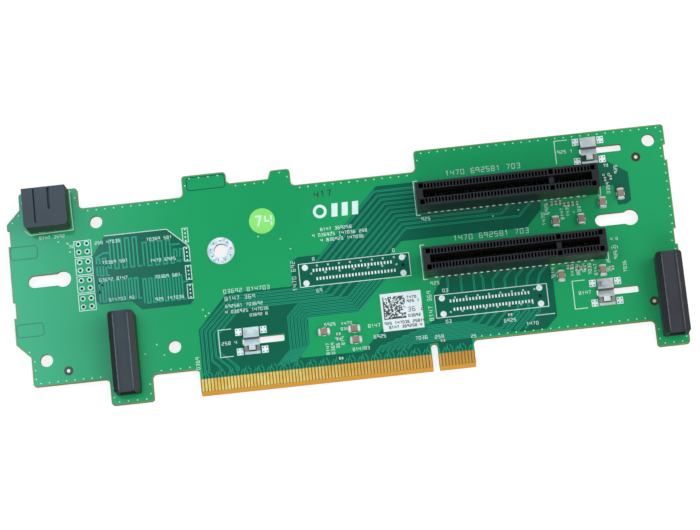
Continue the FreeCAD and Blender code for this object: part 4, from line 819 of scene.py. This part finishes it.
# Chips: fired ceramic bodies between two plated ends. A machine sets them down on the board, and
# solder holds them by both ends.
cap_material = finish("chip_ceramic", (0.28, 0.170, 0.130, 1), (0.36, 0.225, 0.175, 1), 0.5, slow=400.0,
                      fine=2500.0, bump=0.1)
small_chip_material = finish("small_chip_ceramic", (0.30, 0.17, 0.10, 1), (0.37, 0.22, 0.14, 1), 0.5,
                             slow=600.0, fine=2500.0, bump=0.1)
end_material = finish("plated_end", (0.66, 0.68, 0.68, 1), (0.88, 0.90, 0.90, 1), 0.4, metallic=0.45,
                      slow=500.0, fine=2500.0, bump=0.1)
give("bulk_capacitor_bodies", cap_material)
give("small_chip_bodies", small_chip_material)
give("bulk_capacitor_ends", end_material)
give("small_chip_ends", end_material)


# Two stickers of thin film with glue on the back: a square white serial label, and a small round
# green one that the inspector adds.
paper_material = finish("label_paper", (0.74, 0.76, 0.76, 1), (0.82, 0.84, 0.84, 1), 0.5, slow=150.0,
                        fine=1500.0, bump=0.03, coat=0.3)
sticker_material = finish("sticker_paper", (0.25, 0.72, 0.13, 1), (0.30, 0.80, 0.17, 1), 0.5, slow=150.0,
                          fine=1500.0, bump=0.03, coat=0.2)
give("serial_label", paper_material)
give("inspection_sticker", sticker_material)


# Solder: a small bright mound at each plated end joins the chip to its pad. It is printed as
# paste and melted in an oven.
solder_material = finish("solder_mound", (0.66, 0.68, 0.68, 1), (0.88, 0.90, 0.90, 1), 0.34, metallic=0.5,
                         slow=700.0, fine=3000.0, bump=0.1, reach=0.00002)


def add_mounds(name, boxes, spread, share, material):
    """Low rounded mounds that swell out of the foot of each box."""
    corners = 12
    square_round = []
    for k in range(corners):
        angle = 2 * math.pi * (k + 0.5) / corners
        round_corner = (math.cos(angle), math.sin(angle))
        square_round.append([math.copysign(abs(reach) ** 0.6, reach) for reach in round_corner])
    shape = bmesh.new()
    for low, high in boxes:
        middle = [(low[axis] + high[axis]) / 2 for axis in range(2)]
        half = [(high[axis] - low[axis]) / 2 + spread for axis in range(2)]
        rise = (high[2] - low[2]) * share
        stack(shape, [[(middle[0] + across * half[0] * shrink, middle[1] + along * half[1] * shrink,
                        BOARD_TOP + rise * level) for across, along in square_round]
                      for level, shrink in ((0.0, 1.0), (0.35, 0.86), (0.75, 0.62), (1.0, 0.3))])
    item = built(shape, name)
    for face in item.data.polygons:
        face.use_smooth = True
    return keep(item, material)


add_mounds("bulk_chip_solder", islands("bulk_capacitor_ends"), 0.34 * MM, 0.5, solder_material)
add_mounds("small_chip_solder", islands("small_chip_ends"), 0.17 * MM, 0.6, solder_material)
# Each clip pad is soldered through four small holes, shown as dark discs of painted shade.
clip_holes = []
for low, high in islands("clip_solder_pads"):
    left, lower, right, upper = sides_of(low, high)
    clip_holes += [(left + across * (right - left), lower + up * (upper - lower))
                   for across in (0.23, 0.77) for up in (0.23, 0.77)]
CLIP_PAD_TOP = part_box("clip_solder_pads")[1][2]
add_discs("clip_pad_holes", clip_holes, 0.42, CLIP_PAD_TOP, 0.006 * MM, hole_shade_material, 8)


# Printed legend: fine white ink, screen-printed on the mask. It holds outlines of the parts, plain
# numerals and tick marks.
silk_material = finish("silk_print", (0.66, 0.80, 0.74, 1), (0.78, 0.90, 0.84, 1), 0.6, slow=300.0,
                       fine=2500.0, bump=0.05)
SILK_LOW = BOARD_TOP + 0.010 * MM
SILK_FILM = 0.016 * MM


def boxed(left, low, right, high):
    """The closed outline of a rectangle."""
    return [(left, low), (right, low), (right, high), (left, high), (left, low)]


outlines = [
    boxed(33.3, 30.25, 67.5, 37.45), boxed(73.9, 16.1, 108.4, 23.2),
    [(10.8, 19.7), (6.8, 19.7), (6.8, 11.2), (10.8, 11.2)],
    [(119.9, 67.3), (115.9, 67.3), (115.9, 60.0)],
    [(120.2, 23.0), (116.3, 23.0), (116.3, 14.3), (120.2, 14.3)],
    [(-35.2, 68.6), (-34.9, 56.0), (-48.2, 55.7), (-50.0, 57.2)],
    [(72.5, 59.5), (71.2, 59.5), (71.2, 48.7), (72.5, 48.7)],
    [(72.5, 39.3), (71.2, 39.3), (71.2, 28.5), (72.5, 28.5)],
    [(127.4, 48.7), (128.3, 48.7), (128.3, 59.0)], [(127.4, 28.5), (128.3, 28.5), (128.3, 38.6)],
    [(104.0, 13.7), (110.0, 13.7)], [(-25.6, 53.0), (-6.2, 53.0), (0.3, 46.9)],
    [(110.2, 24.6), (112.0, 26.2)],
]
for k in range(4):
    outlines.append(boxed(-35.1, 30.3 + 5.62 * k, -29.9, 35.4 + 5.62 * k))
COUPON_ROWS = (50.5, 44.5, 38.7, 32.8)
for middle in COUPON_ROWS:
    outlines.append(boxed(-1.4, middle - 2.2, 0.3, middle + 2.2))
for low, high in islands("bulk_capacitor_bodies"):
    left, bottom, right, top = sides_of(low, high)
    if right - left > top - bottom:
        outlines += [[(left + 0.5, y), (right - 0.5, y)] for y in (bottom - 0.35, top + 0.35)]
    else:
        outlines += [[(x, bottom + 0.5), (x, top - 0.5)] for x in (left - 0.35, right + 0.35)]
add_tracks("silk_outlines", outlines, 0.20, SILK_LOW, SILK_FILM, silk_material)

# Numerals are drawn with single strokes, as a pen plotter draws them.
STROKES = {
    "0": [[(0, 0), (0, 1), (0.6, 1), (0.6, 0), (0, 0)]], "1": [[(0.1, 0.75), (0.35, 1), (0.35, 0)]],
    "2": [[(0, 1), (0.6, 1), (0.6, 0.5), (0, 0.5), (0, 0), (0.6, 0)]],
    "3": [[(0, 1), (0.6, 1), (0.6, 0), (0, 0)], [(0.6, 0.5), (0.1, 0.5)]],
    "4": [[(0, 1), (0, 0.45), (0.6, 0.45)], [(0.6, 1), (0.6, 0)]],
    "5": [[(0.6, 1), (0, 1), (0, 0.5), (0.6, 0.5), (0.6, 0), (0, 0)]],
    "6": [[(0.6, 1), (0, 1), (0, 0), (0.6, 0), (0.6, 0.5), (0, 0.5)]],
    "7": [[(0, 1), (0.6, 1), (0.25, 0)]],
    "8": [[(0, 0), (0, 1), (0.6, 1), (0.6, 0), (0, 0)], [(0, 0.5), (0.6, 0.5)]],
    "9": [[(0.6, 0), (0.6, 1), (0, 1), (0, 0.5), (0.6, 0.5)]],
}


def numeral_paths(text, x, y, height, upright=False):
    """The strokes of a row of numerals whose lower left corner is given, or of an upright row."""
    paths = []
    for index, sign in enumerate(text):
        for stroke in STROKES.get(sign, []):
            line = [((1.05 * index + across) * height, up * height) for across, up in stroke]
            paths.append([(x - rise, y + along) if upright else (x + along, y + rise)
                          for along, rise in line])
    return paths


def counting(count, start):
    """A plain run of counting digits, with a gap now and then."""
    return "".join(" " if (index + start) % 7 == 5 else str((index * 3 + start) % 10)
                   for index in range(count))


small_print = []
for x, y, count, height in (
    (39.5, 17.4, 4, 1.0), (44.6, 17.2, 4, 1.0), (44.4, 15.6, 4, 0.9), (46.5, 8.9, 8, 1.0),
    (54.2, 12.0, 4, 1.1), (52.8, 15.5, 4, 1.1), (66.8, 10.2, 4, 1.1), (72.8, 9.9, 4, 1.1),
    (83.8, 9.0, 2, 1.0), (94.3, 12.6, 4, 1.1), (101.0, 10.9, 4, 1.1), (72.6, 46.9, 3, 1.1),
    (73.2, 26.6, 3, 1.1), (36.8, 38.2, 2, 1.1), (62.6, 38.2, 1, 1.1), (38.2, 28.2, 2, 1.1),
    (76.6, 24.0, 2, 1.1), (76.6, 14.3, 2, 1.1), (7.6, 14.9, 5, 1.1), (116.6, 63.2, 5, 1.1),
    (117.0, 18.6, 5, 1.1), (-45.6, 54.0, 9, 1.0), (-45.6, 56.3, 8, 0.9), (-36.6, 50.4, 2, 1.0),
    (-28.6, 50.6, 9, 1.0), (-12.6, 50.0, 9, 1.0), (-26.8, 44.2, 9, 1.0), (-12.0, 43.2, 9, 1.0),
    (-28.2, 38.9, 10, 1.0), (-11.0, 38.0, 9, 1.0), (-26.6, 32.4, 10, 1.0), (-11.4, 31.0, 10, 1.0),
    (9.6, 30.9, 12, 1.35), (9.8, 28.6, 8, 1.35), (9.8, 26.4, 13, 1.0), (9.6, 24.6, 15, 1.0),
    (17.0, 23.0, 7, 0.9), (41.2, 47.2, 12, 1.0), (38.6, 45.5, 19, 1.0), (41.0, 43.8, 15, 1.0),
    (130.2, 57.6, 2, 0.9), (129.6, 34.4, 3, 0.9), (129.4, 31.6, 3, 0.9), (129.6, 54.6, 3, 0.9),
    (81.5, 60.2, 15, 1.75), (81.8, 39.6, 15, 1.75),
):
    small_print += numeral_paths(counting(count, int(x + y) % 10), x, y, height * 0.86)
for x, y, count, height in (
    (32.2, 29.4, 8, 1.15), (72.9, 15.6, 8, 1.15), (0.2, 7.2, 5, 1.0), (40.2, 8.6, 4, 0.9),
    (41.8, 8.6, 4, 0.9), (43.4, 10.2, 4, 0.9), (45.0, 10.2, 4, 0.9), (110.4, 41.4, 4, 1.0),
    (111.4, 24.0, 4, 1.0),
    (116.2, 42.6, 4, 0.9), (118.0, 43.4, 4, 0.9), (121.6, 42.6, 4, 0.9), (117.2, 24.6, 4, 0.9),
    (119.0, 24.6, 4, 0.9), (120.8, 24.6, 4, 0.9), (122.6, 24.6, 4, 0.9), (124.4, 24.2, 4, 0.9),
    (134.2, 55.2, 4, 0.9), (131.2, 49.2, 4, 0.9), (131.0, 28.6, 5, 0.9), (128.6, 24.8, 4, 0.9),
    (111.6, 44.6, 4, 0.9), (133.4, 24.2, 4, 0.9),
):
    small_print += numeral_paths(counting(count, int(x + y) % 10), x, y, height, True)
add_tracks("silk_numerals", small_print, 0.13, SILK_LOW, SILK_FILM, silk_material)
dots = [(-0.55, middle + 1.2 * k - 1.8) for middle in COUPON_ROWS for k in range(4)]
add_discs("silk_dots", dots, 0.5, SILK_LOW, SILK_FILM, silk_material, 8)
# A plain ring and three slanted bars decorate the board, and a stamped number stands above them.
ring_mark = []
for radius in (2.15, 1.25):
    ring_mark.append([(41.6 + radius * math.cos(math.radians(a)), 53.3 + radius * math.sin(math.radians(a)))
                      for a in range(0, 360, 15)])
add_field("plain_ring_mark", ring_mark, SILK_LOW, SILK_FILM, silk_material)
for index, left in enumerate((45.0, 48.2, 51.4)):
    bar = [(left, 51.2), (left + 1.9, 51.2), (left + 2.3, 55.4), (left + 0.4, 55.4)]
    add_field("plain_bar_mark_%d" % (index + 1), [bar], SILK_LOW, SILK_FILM, silk_material)
ink_material = finish("stamp_ink", (0.010, 0.020, 0.018, 1), (0.016, 0.030, 0.026, 1), 0.6, slow=300.0,
                      fine=2500.0, bump=0.02)
add_tracks("ink_stamp", numeral_paths("417", 40.4, 57.8, 1.9), 0.3, SILK_LOW, SILK_FILM, ink_material)


# Copper reliefs: faint rounded outlines where the copper is etched away. The solder mask lies over
# them like over the rest of the board.
def rounded(left, low, right, high, corner):
    """The closed outline of a rectangle with round corners."""
    path = []
    for x, y, first in ((right - corner, high - corner, 0), (left + corner, high - corner, 90),
                        (left + corner, low + corner, 180), (right - corner, low + corner, 270)):
        for step in range(4):
            angle = math.radians(first + step * 30)
            path.append((x + corner * math.cos(angle), y + corner * math.sin(angle)))
    return path + [path[0]]


reliefs = [rounded(-54.9, 48.4, -46.6, 52.4, 0.9), rounded(-54.9, 24.0, -46.6, 28.0, 0.9),
           rounded(1.3, 64.3, 13.2, 68.4, 0.9)]
add_tracks("copper_reliefs", reliefs, 0.28, BOARD_TOP, BARE_FILM, bare_material)


# Print on the stickers: the serial label has a random square code and plain numerals in dark ink,
# and the inspection sticker has a plain numeral in pale green.
print_material = finish("label_print", (0.045, 0.05, 0.05, 1), (0.075, 0.08, 0.08, 1), 0.6, slow=300.0,
                        fine=2500.0, bump=0.02)
LABEL_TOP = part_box("serial_label")[1][2]
PRINT_FILM = 0.012 * MM
CELL_WIDTH = 0.34
CELL_HEIGHT = 0.35
code = random.Random(19)
code_cells = []
for row in range(20):
    for column in range(20):
        if row == 0 or column == 0 or code.random() < 0.52:
            left = 57.9 + CELL_WIDTH * column
            middle = 17.3 + CELL_HEIGHT * (row + 0.5)
            code_cells.append([(left, middle), (left + CELL_WIDTH, middle)])
add_tracks("label_code", code_cells, CELL_HEIGHT, LABEL_TOP, PRINT_FILM, print_material)
label_lines = []
for x, y, count, height in ((65.4, 23.2, 5, 0.75), (65.4, 22.0, 5, 0.75), (65.4, 19.2, 4, 1.3),
                            (65.4, 17.5, 5, 0.75), (57.9, 15.7, 17, 0.75), (59.2, 14.4, 13, 0.75)):
    label_lines += numeral_paths(counting(count, int(x + 2 * y) % 10), x, y, height)
add_tracks("label_numerals", label_lines, 0.2, LABEL_TOP, PRINT_FILM, print_material)
sticker_ink = finish("sticker_print", (0.62, 0.92, 0.62, 1), (0.70, 0.97, 0.70, 1), 0.6, slow=300.0,
                     fine=2500.0, bump=0.02)
STICKER_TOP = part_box("inspection_sticker")[1][2]
add_tracks("sticker_numeral", numeral_paths("74", 21.4, 50.8, 3.0), 0.55, STICKER_TOP, PRINT_FILM,
           sticker_ink)
